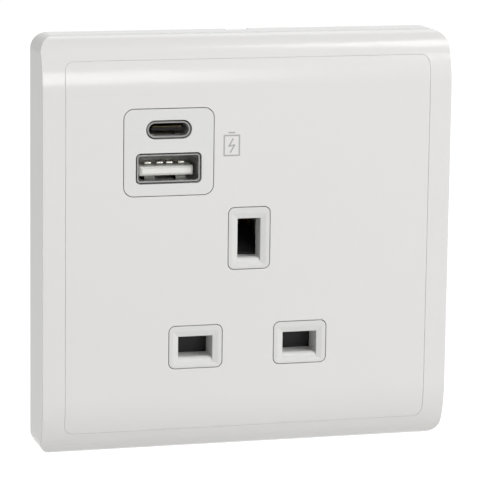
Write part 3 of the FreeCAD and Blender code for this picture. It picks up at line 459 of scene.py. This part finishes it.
@dataclass(frozen=True)
class MouldedPlastic:
    """Moulded plastic with a fine grain, soft edges and slightly uneven gloss.

    Sizes are in metres and the scales of its patterns in waves per metre.
    """

    name: str
    colour: Colour
    roughness: float
    grain: float = 0.0000006
    shine: float = 0.5
    printed: Stamp | None = None
    ink: Colour = tone(176, 176, 176)
    edge: float = 0.00018
    refraction: float = 1.5
    cloud_scale: float = 28.0
    cloud_shade: float = 0.988
    gloss_scale: float = 60.0
    gloss_spread: float = 0.02
    grain_scale: float = 5200.0
    grain_detail: float = 3.0

    def material(self) -> bpy.types.Material:
        """Builds the finish.

        Returns:
            Its material.
        """
        shading = Shading(self.name)
        place = shading.place()
        cloud = shading.span(shading.noise(place, self.cloud_scale, detail=1.0), 0.0, 1.0)
        colour = shading.blend(cloud, self.colour, shaded(self.colour, self.cloud_shade))
        if self.printed is not None:
            colour = shading.blend(shading.print_mask(self.printed), colour, self.ink)
        gloss = shading.noise(place, self.gloss_scale, detail=1.0)
        roughness = shading.span(gloss, self.roughness - self.gloss_spread,
                                 self.roughness + self.gloss_spread)
        height = shading.noise(place, self.grain_scale, self.grain_detail)
        return shading.finish(Base_Color=colour, Roughness=roughness, IOR=self.refraction,
                              Specular_IOR_Level=self.shine,
                              Normal=shading.relief(height, self.grain, self.edge))


@dataclass(frozen=True)
class WorkedMetal:
    """Metal that was rolled, plated or turned, with fine lines along one axis.

    Sizes are in metres and the scales of its patterns in waves per metre.
    """

    name: str
    colour: Colour
    roughness: float
    lines: Axis = Axis.RIGHT
    metallic: float = 1.0
    cut_edge: Colour | None = None
    edge: float = 0.00006
    across_scale: float = 3200.0
    along_scale: float = 150.0
    line_depth: float = 0.0000015
    cloud_scale: float = 320.0
    detail: float = 3.0
    dull_shade: float = 0.86
    bright_gain: float = 0.07
    dull_gain: float = 0.09

    def material(self) -> bpy.types.Material:
        """Builds the finish.

        Returns:
            Its material.
        """
        shading = Shading(self.name)
        place = shading.place()
        across = Vector((1.0, 1.0, 1.0)) * self.across_scale
        fine = across - self.lines.value * (self.across_scale - self.along_scale)
        brushed = shading.noise(shading.stretched(place, fine), 1.0, self.detail)
        cloud = shading.noise(place, self.cloud_scale, self.detail)
        colour = shading.blend(shading.span(cloud, 0.0, 1.0), self.colour,
                               shaded(self.colour, self.dull_shade))
        if self.cut_edge is not None:
            colour = shading.blend(shading.front_faces(), colour, self.cut_edge)
        roughness = shading.span(shading.combine("ADD", brushed, cloud),
                                 self.roughness - self.bright_gain,
                                 self.roughness + self.dull_gain, start=0.7, end=1.3)
        return shading.finish(Base_Color=colour, Metallic=self.metallic, Roughness=roughness,
                              Normal=shading.relief(brushed, self.line_depth, self.edge))


Finish = MouldedPlastic | WorkedMetal


@dataclass(frozen=True)
class Thread:
    """A screw thread, cut into a shank that lies along Y.

    Sizes are in millimetres, and half_mouth is a share of the pitch.
    """

    radius: float
    pitch: float
    depth: float
    steps: int = 20
    clearance: float = 0.15
    half_mouth: float = 0.42

    def cut_into(self, shape: bmesh.types.BMesh, centre_x: float, centre_z: float,
                 start: float, end: float) -> None:
        """Adds the groove of one shank to a cutter, as a wedge that winds round it.

        Args:
            shape: The cutter's mesh.
            centre_x: The shank's middle.
            centre_z: The shank's middle.
            start: Where the groove starts along Y.
            end: Where it ends.
        """
        half, mouth = self.pitch * self.half_mouth, self.radius + self.clearance
        section = ((mouth, -half), (mouth, half), (self.radius - self.depth, 0.0))
        rings = []
        for step in range(int(self.steps * (end - start) / self.pitch) + 1):
            turn = 2 * math.pi * step / self.steps
            along = start + self.pitch * step / self.steps
            rings.append([shape.verts.new(mm(centre_x + reach * math.cos(turn), along + shift,
                                             centre_z + reach * math.sin(turn)))
                          for reach, shift in section])
        add_sleeve(shape, rings)


@dataclass(frozen=True)
class BentStrip:
    """A metal strip that is bent along a path in the YZ plane. Sizes in millimetres."""

    path: tuple[tuple[float, float], ...]
    width: float
    thickness: float

    def add_to(self, shape: bmesh.types.BMesh, centre_x: float) -> None:
        """Adds the strip to a mesh.

        Args:
            shape: The mesh.
            centre_x: The strip's middle.
        """
        rings = []
        last = len(self.path) - 1
        for index, (y, z) in enumerate(self.path):
            before, after = self.path[max(index - 1, 0)], self.path[min(index + 1, last)]
            along = Vector((after[0] - before[0], after[1] - before[1])).normalized()
            out_y, out_z = -along.y * self.thickness / 2, along.x * self.thickness / 2
            left, right = centre_x - self.width / 2, centre_x + self.width / 2
            rings.append([shape.verts.new(mm(x, y + hand * out_y, z + hand * out_z))
                          for x, hand in ((left, -1), (right, -1), (right, 1), (left, 1))])
        add_sleeve(shape, rings)


@dataclass
class Assembly:
    """What every sub-assembly can do with its pieces. Sizes in millimetres, angles in degrees."""

    weld: float = 0.002
    flat_angle: float = 0.4
    sharp_angle: float = 32.0
    rounded_angle: float = 40.0
    rounding_steps: int = 2
    flat_weight: int = 100

    def welded(self, node: str) -> bmesh.types.BMesh:
        """Copies a piece's mesh and closes its seams.

        Args:
            node: The piece's name in the frame.

        Returns:
            The copy.
        """
        shape = bmesh.new()
        shape.from_mesh(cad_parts[node].data)
        bmesh.ops.remove_doubles(shape, verts=shape.verts, dist=self.weld * MM)
        return shape

    def copied(self, node: str) -> bmesh.types.BMesh:
        """Copies a piece's mesh, with its seams closed and its flat faces whole.

        Args:
            node: The piece's name in the frame.

        Returns:
            The copy.
        """
        shape = self.welded(node)
        bmesh.ops.dissolve_limit(shape, angle_limit=math.radians(self.flat_angle),
                                 verts=shape.verts, edges=shape.edges)
        return shape

    def recast(self, node: str, shape: bmesh.types.BMesh, body: str, slot: str, finish: Finish,
               rounding: float = 0.0) -> bpy.types.Object:
        """Shows a finer piece in the place of one of the frame's.

        Args:
            node: The piece's name in the frame.
            shape: The finer mesh, which is used up.
            body: The body that carries it.
            slot: Not used.
            finish: Its finish.
            rounding: The radius of its edges in millimetres, or 0.

        Returns:
            The new piece.
        """
        piece = self.add_piece(node + "_fine", shape, body, slot, finish, rounding)
        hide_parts(node)
        return piece

    def add_piece(self, name: str, shape: bmesh.types.BMesh, body: str, slot: str,
                  finish: Finish, rounding: float = 0.0) -> bpy.types.Object:
        """Adds a piece to the scene.

        Args:
            name: The piece's name.
            shape: Its mesh, which is used up.
            body: The body that carries it.
            slot: Not used.
            finish: Its finish.
            rounding: The radius of its edges in millimetres, or 0.

        Returns:
            The new piece.
        """
        piece = self.solid(name, shape)
        if rounding:
            soft = piece.modifiers.new("soft_edges", "BEVEL")
            soft.width = rounding * MM
            soft.segments = self.rounding_steps
            soft.limit_method = "ANGLE"
            soft.angle_limit = math.radians(self.rounded_angle)
            self.settle(piece)
        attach(piece, body)
        self.smooth(piece)
        self.coat(piece, finish)
        return piece

    @staticmethod
    def solid(name: str, shape: bmesh.types.BMesh) -> bpy.types.Object:
        """Puts a new body into the scene.

        Args:
            name: The object's name.
            shape: Its mesh, which is used up.

        Returns:
            The new object.
        """
        bmesh.ops.recalc_face_normals(shape, faces=shape.faces)
        mesh = bpy.data.meshes.new(name)
        shape.to_mesh(mesh)
        shape.free()
        return placed(name, mesh)

    def carve(self, piece: bpy.types.Object, cutter: bmesh.types.BMesh) -> None:
        """Cuts a shape away from a piece.

        Args:
            piece: The piece.
            cutter: What comes away, which is used up.
        """
        tool = self.solid("cutter", cutter)
        mesh = tool.data
        cut = piece.modifiers.new("cut", "BOOLEAN")
        cut.operation = "DIFFERENCE"
        cut.solver = "EXACT"
        cut.use_self = True
        cut.object = tool
        self.settle(piece)
        bpy.data.objects.remove(tool)
        bpy.data.meshes.remove(mesh)
        self.smooth(piece)

    @staticmethod
    def settle(piece: bpy.types.Object) -> None:
        """Turns a piece's modifiers into plain mesh.

        Args:
            piece: The piece.
        """
        depsgraph = bpy.context.evaluated_depsgraph_get()
        mesh = bpy.data.meshes.new_from_object(piece.evaluated_get(depsgraph))
        piece.modifiers.clear()
        piece.data = mesh

    def smooth(self, piece: bpy.types.Object) -> None:
        """Shades a piece smoothly between its sharp edges, and keeps its flat faces flat.

        Args:
            piece: The piece.
        """
        mesh = piece.data
        mesh.polygons.foreach_set("use_smooth", [True] * len(mesh.polygons))
        mesh.set_sharp_from_angle(angle=math.radians(self.sharp_angle))
        flat = piece.modifiers.new("flat_faces", "WEIGHTED_NORMAL")
        flat.keep_sharp = True
        flat.weight = self.flat_weight
        self.settle(piece)

    @staticmethod
    def coat(piece: bpy.types.Object, finish: Finish) -> None:
        """Gives a piece its finish and reports it.

        Args:
            piece: The piece.
            finish: The finish.
        """
        piece.data.materials.clear()
        piece.data.materials.append(finish.material())
        LOG.info("%s: %d faces, finish %s", piece.name, len(piece.data.polygons), finish.name)

    def dress(self, node: str, finish: Finish) -> None:
        """Gives a piece of the frame its finish."""
        self.coat(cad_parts[node], finish)


@dataclass
class Cover(Assembly):
    """The outer frame, the inner plate and the moulding behind them.

    Sizes are in millimetres. The plate's rim lies past rim_share of its reach. There the normal's
    part along Y is at most wall_lean on the wall, and at least face_lean on the front face.
    """

    white: Colour = tone(233, 232, 231)
    boss_white: Colour = tone(226, 226, 224)
    gloss: float = 0.16
    sign: Stamp = Stamp(Mark.BATTERY, -3.9, 20.9, 4.2, 5.2, 0.3)
    seam_gap: float = 0.08
    ledge_depth: float = 0.05
    ledge_thickness: float = 0.15
    ledge_overlap: float = 0.03
    rim_share: float = 0.9
    wall_lean: float = 0.2
    face_lean: float = 0.3

    def build(self) -> None:
        """Dresses the three white mouldings and prints the charging sign."""
        self.dress("surround_frame", MouldedPlastic("cover_white_frame", self.white, self.gloss))
        self.dress("front_plate", MouldedPlastic("cover_white_plate", self.white, self.gloss,
                                                 printed=self.sign))
        self.dress("base_plate", MouldedPlastic("cover_white_base", self.boss_white, self.gloss))
        self.lay_seam_ledge()

    def outer_rim(self, plate: bmesh.types.BMesh) -> list[
            tuple[bmesh.types.BMEdge, bmesh.types.BMFace, bmesh.types.BMFace]]:
        """Finds the edges round the front of the plate, but not those round its windows.

        Args:
            plate: The plate's mesh.

        Returns:
            Each edge, with the wall and the front face that meet there.
        """
        reach = max(abs(vertex.co.x) for vertex in plate.verts) * self.rim_share
        rim = []
        for edge in plate.edges:
            if len(edge.link_faces) != 2:
                continue
            wall, face = sorted(edge.link_faces, key=lambda side: abs(side.normal.y))
            middle = (edge.verts[0].co + edge.verts[1].co) / 2
            outer = max(abs(middle.x), abs(middle.z)) >= reach
            if outer and abs(wall.normal.y) <= self.wall_lean and face.normal.y <= -self.face_lean:
                rim.append((edge, wall, face))
        return rim

    def lay_seam_ledge(self) -> None:
        """Lays the frame's narrow ledge, which shows at the bottom of the seam round the plate."""
        plate = self.welded("front_plate")
        plate.normal_update()
        rim = self.outer_rim(plate)
        meeting: dict[bmesh.types.BMVert, list[tuple[Vector, Vector]]] = {}
        for edge, wall, face in rim:
            for vertex in edge.verts:
                meeting.setdefault(vertex, []).append((wall.normal, face.normal))
        inner, outer = -self.ledge_overlap, self.seam_gap + self.ledge_overlap
        top, bottom = self.ledge_depth, self.ledge_depth + self.ledge_thickness
        section = ((inner, top), (outer, top), (outer, bottom), (inner, bottom))
        ledge = bmesh.new()
        rings = {}
        for vertex, normals in meeting.items():
            way = sum((wall for wall, _ in normals), Vector())
            way.y = 0.0
            way.normalize()
            slope = sum(-face.dot(wall) / face.y for wall, face in normals) / len(normals)
            along = way + Axis.INTO_WALL.value * slope
            rings[vertex] = [
                ledge.verts.new(vertex.co + (along * out + Axis.INTO_WALL.value * depth) * MM)
                for out, depth in section]
        for edge, _, _ in rim:
            join_rings(ledge, *(rings[vertex] for vertex in edge.verts))
        plate.free()
        self.add_piece("seam_ledge", ledge, "socket", "cover_white",
                       MouldedPlastic("cover_white_ledge", self.white, self.gloss))


@dataclass
class ShutterGate(Assembly):
    """The black shutter and its return spring."""

    black: Colour = tone(10, 10, 11)

    def build(self) -> None:
        """Dresses the shutter and its spring."""
        self.dress("shutter", MouldedPlastic("shutter_black", self.black, 0.3, shine=0.25))
        self.dress("shutter_spring", WorkedMetal("spring_steel", tone(178, 176, 170), 0.24))


@dataclass
class ChargingPorts(Assembly):
    """The two ports in their white insert.

    Sizes are in millimetres, angles in degrees, and finger_crest is a share of the finger.
    """

    white: Colour = tone(230, 230, 228)
    tongue: Colour = tone(238, 238, 234)
    polished: Colour = tone(208, 208, 206)
    satin: Colour = tone(214, 214, 212)
    cut_edge: Colour = tone(146, 146, 144)
    wall: float = 0.3
    finger_width: float = 2.2
    finger_start: float = 2.2
    finger_end: float = 7.2
    finger_rise: float = 0.7
    finger_crest: float = 0.24
    finger_tip: float = 0.3
    finger_steps: int = 14
    finger_slack: float = 0.02
    contact_offsets: tuple[float, ...] = (-3.5, -1.0, 1.0, 3.5)
    contact_width: float = 1.3
    contact_thickness: float = 0.2
    contact_crest: float = 3.85
    contact_nose: float = 0.34
    contact_slope: float = 2.3
    nose_angles: range = range(235, 89, -12)
    slope_steps: int = 8
    wide_rounding: float = 0.05
    narrow_rounding: float = 0.07
    contact_rounding: float = 0.03

    def build(self) -> None:
        """Dresses the insert and the tongues, and forms the shells and contacts."""
        self.dress("usb_face", MouldedPlastic("insert_white", self.white, 0.24))
        self.dress("usb_a_tongue", MouldedPlastic("tongue_white", self.tongue, 0.4))
        self.dress("usb_c_tongue", MouldedPlastic("tongue_black", tone(9, 9, 10), 0.45, shine=0.2))
        self.dress("usb_c_contacts",
                   WorkedMetal("contact_gold", tone(214, 196, 150), 0.22, Axis.INTO_WALL))
        self.form_wide_shell()
        self.form_wide_contacts()
        satin = WorkedMetal("port_satin", self.satin, 0.34, Axis.INTO_WALL, metallic=0.4,
                            cut_edge=self.cut_edge)
        self.recast("usb_c_shell", self.copied("usb_c_shell"), "socket", "port_shell", satin,
                    self.narrow_rounding)

    def finger_height(self, share: float) -> float:
        """Follows the bend of a spring finger.

        Args:
            share: How far along the finger, 0 to 1.

        Returns:
            How far the finger stands in from the wall there.
        """
        if share < self.finger_crest:
            return self.finger_rise * self.ease(share / self.finger_crest)
        fall = self.ease((share - self.finger_crest) / (1.0 - self.finger_crest))
        return self.finger_rise + (self.finger_tip - self.finger_rise) * fall

    @staticmethod
    def ease(share: float) -> float:
        """Returns a smooth step from 0 to 1."""
        return (1.0 - math.cos(math.pi * min(max(share, 0.0), 1.0))) / 2.0

    def form_wide_shell(self) -> None:
        """Bends the four spring fingers of the wide shell inwards and softens its rim."""
        low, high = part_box("usb_a_shell")
        middle_x, middle_z = (low.x + high.x) / 2 / MM, (low.z + high.z) / 2 / MM
        quarter_x, half_z = (high.x - low.x) / 4 / MM, (high.z - low.z) / 2 / MM
        root, end = low.y / MM + self.finger_start, low.y / MM + self.finger_end
        shape = self.copied("usb_a_shell")
        for step in range(1, self.finger_steps):
            y = root + (end - root) * step / self.finger_steps
            bmesh.ops.bisect_plane(shape, geom=shape.verts[:] + shape.edges[:] + shape.faces[:],
                                   plane_co=mm(0.0, y, 0.0), plane_no=Axis.INTO_WALL.value)
        slack = self.finger_slack
        for vert in shape.verts:
            x, y, z = vert.co / MM
            along = (y - root) / (end - root)
            on_finger = abs(abs(x - middle_x) - quarter_x) < self.finger_width / 2 + slack
            on_wall = half_z - abs(z - middle_z) < self.wall + slack
            if on_finger and on_wall and 0 < along < 1 + slack:
                inward = -1.0 if z > middle_z else 1.0
                vert.co.z += inward * self.finger_height(along) * MM
        polished = WorkedMetal("port_polished", self.polished, 0.13, Axis.INTO_WALL, metallic=0.8,
                               cut_edge=self.cut_edge)
        self.recast("usb_a_shell", shape, "socket", "port_shell", polished, self.wide_rounding)

    def form_wide_contacts(self) -> None:
        """Makes the four contacts with their humps and curled noses."""
        low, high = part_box("usb_a_contacts")
        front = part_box("usb_a_shell")[0].y / MM
        middle_x = (low.x + high.x) / 2 / MM
        crest_y, top = front + self.contact_crest, low.z / MM
        rest = top + self.contact_thickness / 2
        nose_z = rest + self.contact_nose
        path = []
        for degrees in self.nose_angles:
            turn = math.radians(degrees)
            path.append((crest_y + self.contact_nose * math.cos(turn),
                         nose_z + self.contact_nose * math.sin(turn)))
        for step in range(1, self.slope_steps + 1):
            share = step / self.slope_steps
            drop = 2 * self.contact_nose * (1.0 - self.ease(share))
            path.append((crest_y + self.contact_slope * share, rest + drop))
        path.append((high.y / MM, rest))
        strip = BentStrip(tuple(path), self.contact_width, self.contact_thickness)
        shape = bmesh.new()
        for offset in self.contact_offsets:
            strip.add_to(shape, middle_x + offset)
        bright = WorkedMetal("contact_bright", tone(204, 202, 194), 0.2, Axis.INTO_WALL)
        self.recast("usb_a_contacts", shape, "socket", "port_contact", bright,
                    self.contact_rounding)


@dataclass
class RearHousing(Assembly):
    """The deep rear moulding, its screws, the contacts and the terminals. Sizes in millimetres."""

    white: Colour = tone(222, 222, 217)
    steel: Colour = tone(182, 180, 174)
    brass: Colour = tone(206, 172, 104)
    clamp_thread: Thread = Thread(1.7, 0.6, 0.34)
    clamp_head: float = 2.0
    housing_thread: Thread = Thread(1.4, 1.25, 0.36)
    housing_head: float = 1.8
    clamp_rounding: float = 0.12
    housing_rounding: float = 0.1
    signs: tuple[Stamp, ...] = (
        Stamp(Mark.LINE, 25.4, -17.0, 2.2, 3.0, 0.45, mirrored=True),
        Stamp(Mark.NEUTRAL, -25.4, -17.0, 2.4, 3.0, 0.45, mirrored=True),
        Stamp(Mark.EARTH, 0.0, -13.2, 3.4, 3.2, 0.45, mirrored=True),
    )
    engraved: float = 0.25
    stroke_steps: int = 8

    def cut_thread(self, piece: bpy.types.Object, node: str, thread: Thread, head: float) -> None:
        """Cuts the threads into every shank of a piece.

        Args:
            piece: The piece.
            node: The frame's piece that it stands for, which gives the places.
            thread: The thread.
            head: The height of the screw heads.
        """
        cutter = bmesh.new()
        for low, high in self.islands(node):
            thread.cut_into(cutter, (low.x + high.x) / 2 / MM, (low.z + high.z) / 2 / MM,
                            low.y / MM - thread.pitch, high.y / MM - head - thread.pitch)
        self.carve(piece, cutter)

    def islands(self, node: str) -> list[tuple[Vector, Vector]]:
        """Finds the separate solids of a piece.

        Args:
            node: The piece's name in the frame.

        Returns:
            The lowest and highest corner of each.
        """
        shape = self.copied(node)
        left = set(shape.verts)
        boxes = []
        while left:
            group, waiting = set(), [left.pop()]
            while waiting:
                vert = waiting.pop()
                group.add(vert)
                for link in vert.link_edges:
                    other = link.other_vert(vert)
                    if other in left:
                        left.remove(other)
                        waiting.append(other)
            rows = list(zip(*(vert.co for vert in group)))
            boxes.append((Vector([min(row) for row in rows]), Vector([max(row) for row in rows])))
        shape.free()
        return sorted(boxes, key=lambda box: tuple(box[0]))

    def engrave(self, piece: bpy.types.Object) -> None:
        """Cuts the terminal signs into the back of the housing.

        Args:
            piece: The housing.
        """
        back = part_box("rear_housing")[1].y / MM
        cutter = bmesh.new()
        for sign in self.signs:
            for start, end in sign.strokes():
                self.add_stroke(cutter, start / MM, end / MM, sign.stroke / 2, back)
        self.carve(piece, cutter)

    def add_stroke(self, cutter: bmesh.types.BMesh, start: Vector, end: Vector, half: float,
                   back: float) -> None:
        """Adds one stroke with rounded ends to a cutter.

        Args:
            cutter: The cutter's mesh.
            start: One end in millimetres.
            end: The other end.
            half: Half the stroke's width.
            back: The plane that it is cut into.
        """
        heading = math.atan2(end.z - start.z, end.x - start.x)
        outline = []
        for centre, first in ((end, heading - math.pi / 2), (start, heading + math.pi / 2)):
            for step in range(self.stroke_steps + 1):
                turn = first + math.pi * step / self.stroke_steps
                outline.append((centre.x + half * math.cos(turn), centre.z + half * math.sin(turn)))
        inner = [cutter.verts.new(mm(x, back - self.engraved, z)) for x, z in outline]
        outer = [cutter.verts.new(mm(x, back + self.engraved, z)) for x, z in outline]
        cutter.faces.new(inner)
        cutter.faces.new(reversed(outer))
        join_rings(cutter, outer, inner)

    def build(self) -> None:
        """Dresses the moulding with its terminal signs, and the metal in it."""
        plastic = MouldedPlastic("housing_white", self.white, 0.44, 0.000003)
        housing = self.recast("rear_housing", self.copied("rear_housing"), "socket",
                              "housing_white", plastic)
        self.engrave(housing)
        steel = WorkedMetal("screw_steel", self.steel, 0.3, Axis.INTO_WALL)
        brass = WorkedMetal("terminal_brass", self.brass, 0.3, Axis.UP)
        strip = WorkedMetal("contact_strip_brass", shaded(self.brass, 1.05), 0.27, Axis.INTO_WALL)
        screws = self.recast("housing_screws", self.copied("housing_screws"), "socket",
                             "plated_steel", steel, self.housing_rounding)
        self.cut_thread(screws, "housing_screws", self.housing_thread, self.housing_head)
        for node in ("line_screw", "neutral_screw", "earth_screw_right", "earth_screw_left"):
            screw = self.recast(node, self.copied(node), node, "plated_steel", steel,
                                self.clamp_rounding)
            self.cut_thread(screw, node, self.clamp_thread, self.clamp_head)
        for node in ("line_terminal", "neutral_terminal", "earth_terminal"):
            self.dress(node, brass)
        for node in ("line_contact", "neutral_contact", "earth_contact"):
            self.dress(node, strip)
        self.dress("line_lead", MouldedPlastic("lead_brown", tone(104, 62, 38), 0.45))
        self.dress("neutral_lead", MouldedPlastic("lead_blue", tone(38, 84, 160), 0.45))


@dataclass
class ChargerBoard(Assembly):
    """The charger's board and what stands on it."""

    green: Colour = tone(22, 92, 56)

    def build(self) -> None:
        """Dresses the board and its components."""
        self.dress("usb_board", MouldedPlastic("board_green", self.green, 0.3, 0.00001))
        self.dress("transformer_core", MouldedPlastic("ferrite", tone(52, 50, 50), 0.6, 0.00002))
        self.dress("transformer_winding", MouldedPlastic("winding_tape", tone(222, 190, 60), 0.35))
        self.dress("input_capacitors", MouldedPlastic("can_sleeve", tone(30, 32, 40), 0.25))
        self.dress("output_capacitors",
                   WorkedMetal("can_metal", tone(196, 196, 198), 0.25, Axis.UP))
        self.dress("inductor", MouldedPlastic("inductor_ferrite", tone(60, 58, 58), 0.55, 0.00002))
        for node in ("bridge_rectifier", "controller_chip", "output_rectifier"):
            self.dress(node, MouldedPlastic("chip_black_" + node, tone(34, 34, 36), 0.5, 0.000006))
        self.dress("disc_capacitor", MouldedPlastic("disc_blue", tone(30, 92, 170), 0.3))
        self.dress("fuse_resistor", MouldedPlastic("resistor_body", tone(196, 178, 140), 0.4))


@dataclass(frozen=True)
class Softbox:
    """A soft lamp, placed by its direction from the socket.

    Angles are in degrees, sizes in metres and its power in watts.
    """

    name: str
    azimuth: float
    elevation: float
    distance: float
    width: float
    height: float
    power: float

    def build(self) -> None:
        """Places the lamp and turns it to the socket."""
        lamp = bpy.data.lights.new(self.name, "AREA")
        lamp.shape = "RECTANGLE"
        lamp.size = self.width
        lamp.size_y = self.height
        lamp.energy = self.power
        away = direction(self.azimuth, self.elevation)
        body = placed(self.name, lamp)
        body.location = away * self.distance
        body.rotation_euler = away.to_track_quat("Z", "Y").to_euler()


@dataclass
class Studio:
    """Camera, lamps, floor and background. Angles in degrees, sizes in millimetres."""

    azimuth: float = -15.54
    elevation: float = 10.40
    roll: float = 0.70
    lens: float = 224.3
    sensor: float = 36.0
    near: float = 10.0
    far: float = 50000.0
    camera_place: tuple[float, float, float] = (-162.87, -591.27, 111.29)
    floor_height: float = -98.0
    floor_reach: float = 6000.0
    floor_white: Colour = tone(226, 226, 224)
    floor_glow: float = 0.62
    ambient: float = 0.36
    lamps: tuple[Softbox, ...] = (
        Softbox("strip_lamp", 9.5, 15.5, 1.2, 0.22, 0.28, 0.95),
        Softbox("high_lamp", 47.0, 54.0, 1.0, 0.32, 0.28, 1.5),
        Softbox("broad_lamp", 44.5, 20.0, 2.2, 1.45, 1.3, 24.4),
        Softbox("rear_lamp", 152.0, 52.0, 2.2, 1.1, 1.1, 5.0),
    )

    def build(self) -> None:
        """Sets up everything round the socket."""
        self.build_camera()
        self.build_floor()
        self.build_world()
        for lamp in self.lamps:
            lamp.build()
        bpy.context.scene.view_settings.view_transform = "Standard"

    def build_camera(self) -> None:
        """Places the camera at the photograph's point of view."""
        roll = math.radians(self.roll)
        back = direction(self.azimuth, self.elevation)
        level = Axis.UP.value.cross(back).normalized()
        upright = back.cross(level)
        right = level * math.cos(roll) + upright * math.sin(roll)
        up = upright * math.cos(roll) - level * math.sin(roll)
        turned = Matrix((right, up, back)).transposed().to_4x4()
        camera = placed("camera", bpy.data.cameras.new("camera"))
        camera.data.lens = self.lens
        camera.data.sensor_width = self.sensor
        camera.data.clip_start = self.near * MM
        camera.data.clip_end = self.far * MM
        camera.matrix_world = Matrix.Translation(mm(*self.camera_place)) @ turned
        bpy.context.scene.camera = camera

    def build_floor(self) -> None:
        """Lays the pale floor below the socket."""
        sheet = bmesh.new()
        reach = self.floor_reach
        sheet.faces.new([sheet.verts.new(mm(x, y, self.floor_height)) for x, y in
                         ((-reach, -reach), (reach, -reach), (reach, reach), (-reach, reach))])
        mesh = bpy.data.meshes.new("floor")
        sheet.to_mesh(mesh)
        sheet.free()
        floor = placed("floor", mesh)
        mesh.materials.append(self.floor_material())

    def floor_material(self) -> bpy.types.Material:
        """Builds a matt floor that looks white to the camera and keeps its shadow.

        Returns:
            Its material.
        """
        shading = Shading("floor_pale")
        matt = shading.add("ShaderNodeBsdfDiffuse")
        shading.feed(matt, "Color", self.floor_white)
        glow = shading.add("ShaderNodeEmission")
        shading.feed(glow, "Color", BRIGHT)
        shading.feed(glow, "Strength",
                     shading.combine("MULTIPLY", shading.seen_directly(), self.floor_glow))
        both = shading.add("ShaderNodeAddShader")
        shading.feed(both, 0, matt.outputs[0])
        shading.feed(both, 1, glow.outputs[0])
        shading.feed(shading.output, 0, both.outputs[0])
        return shading.material

    def build_world(self) -> None:
        """Gives the background its white, and the pieces an even light."""
        world = bpy.data.worlds.new("studio")
        nodes = Nodes(world, "ShaderNodeOutputWorld")
        background = nodes.add("ShaderNodeBackground")
        strength = nodes.span(nodes.seen_directly(), self.ambient, 1.0, start=0.0, end=1.0)
        nodes.feed(background, "Color", BRIGHT)
        nodes.feed(background, "Strength", strength)
        nodes.feed(nodes.output, 0, background.outputs[0])
        bpy.context.scene.world = world


def main() -> None:
    """Builds the studio and every sub-assembly."""
    logging.basicConfig(level=logging.INFO, format="%(name)s: %(message)s")
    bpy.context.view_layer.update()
    Studio().build()
    for assembly in (Cover(), ShutterGate(), ChargingPorts(), RearHousing(), ChargerBoard()):
        assembly.build()
        LOG.info("%s is built", type(assembly).__name__)


if __name__ == "__main__":
    main()
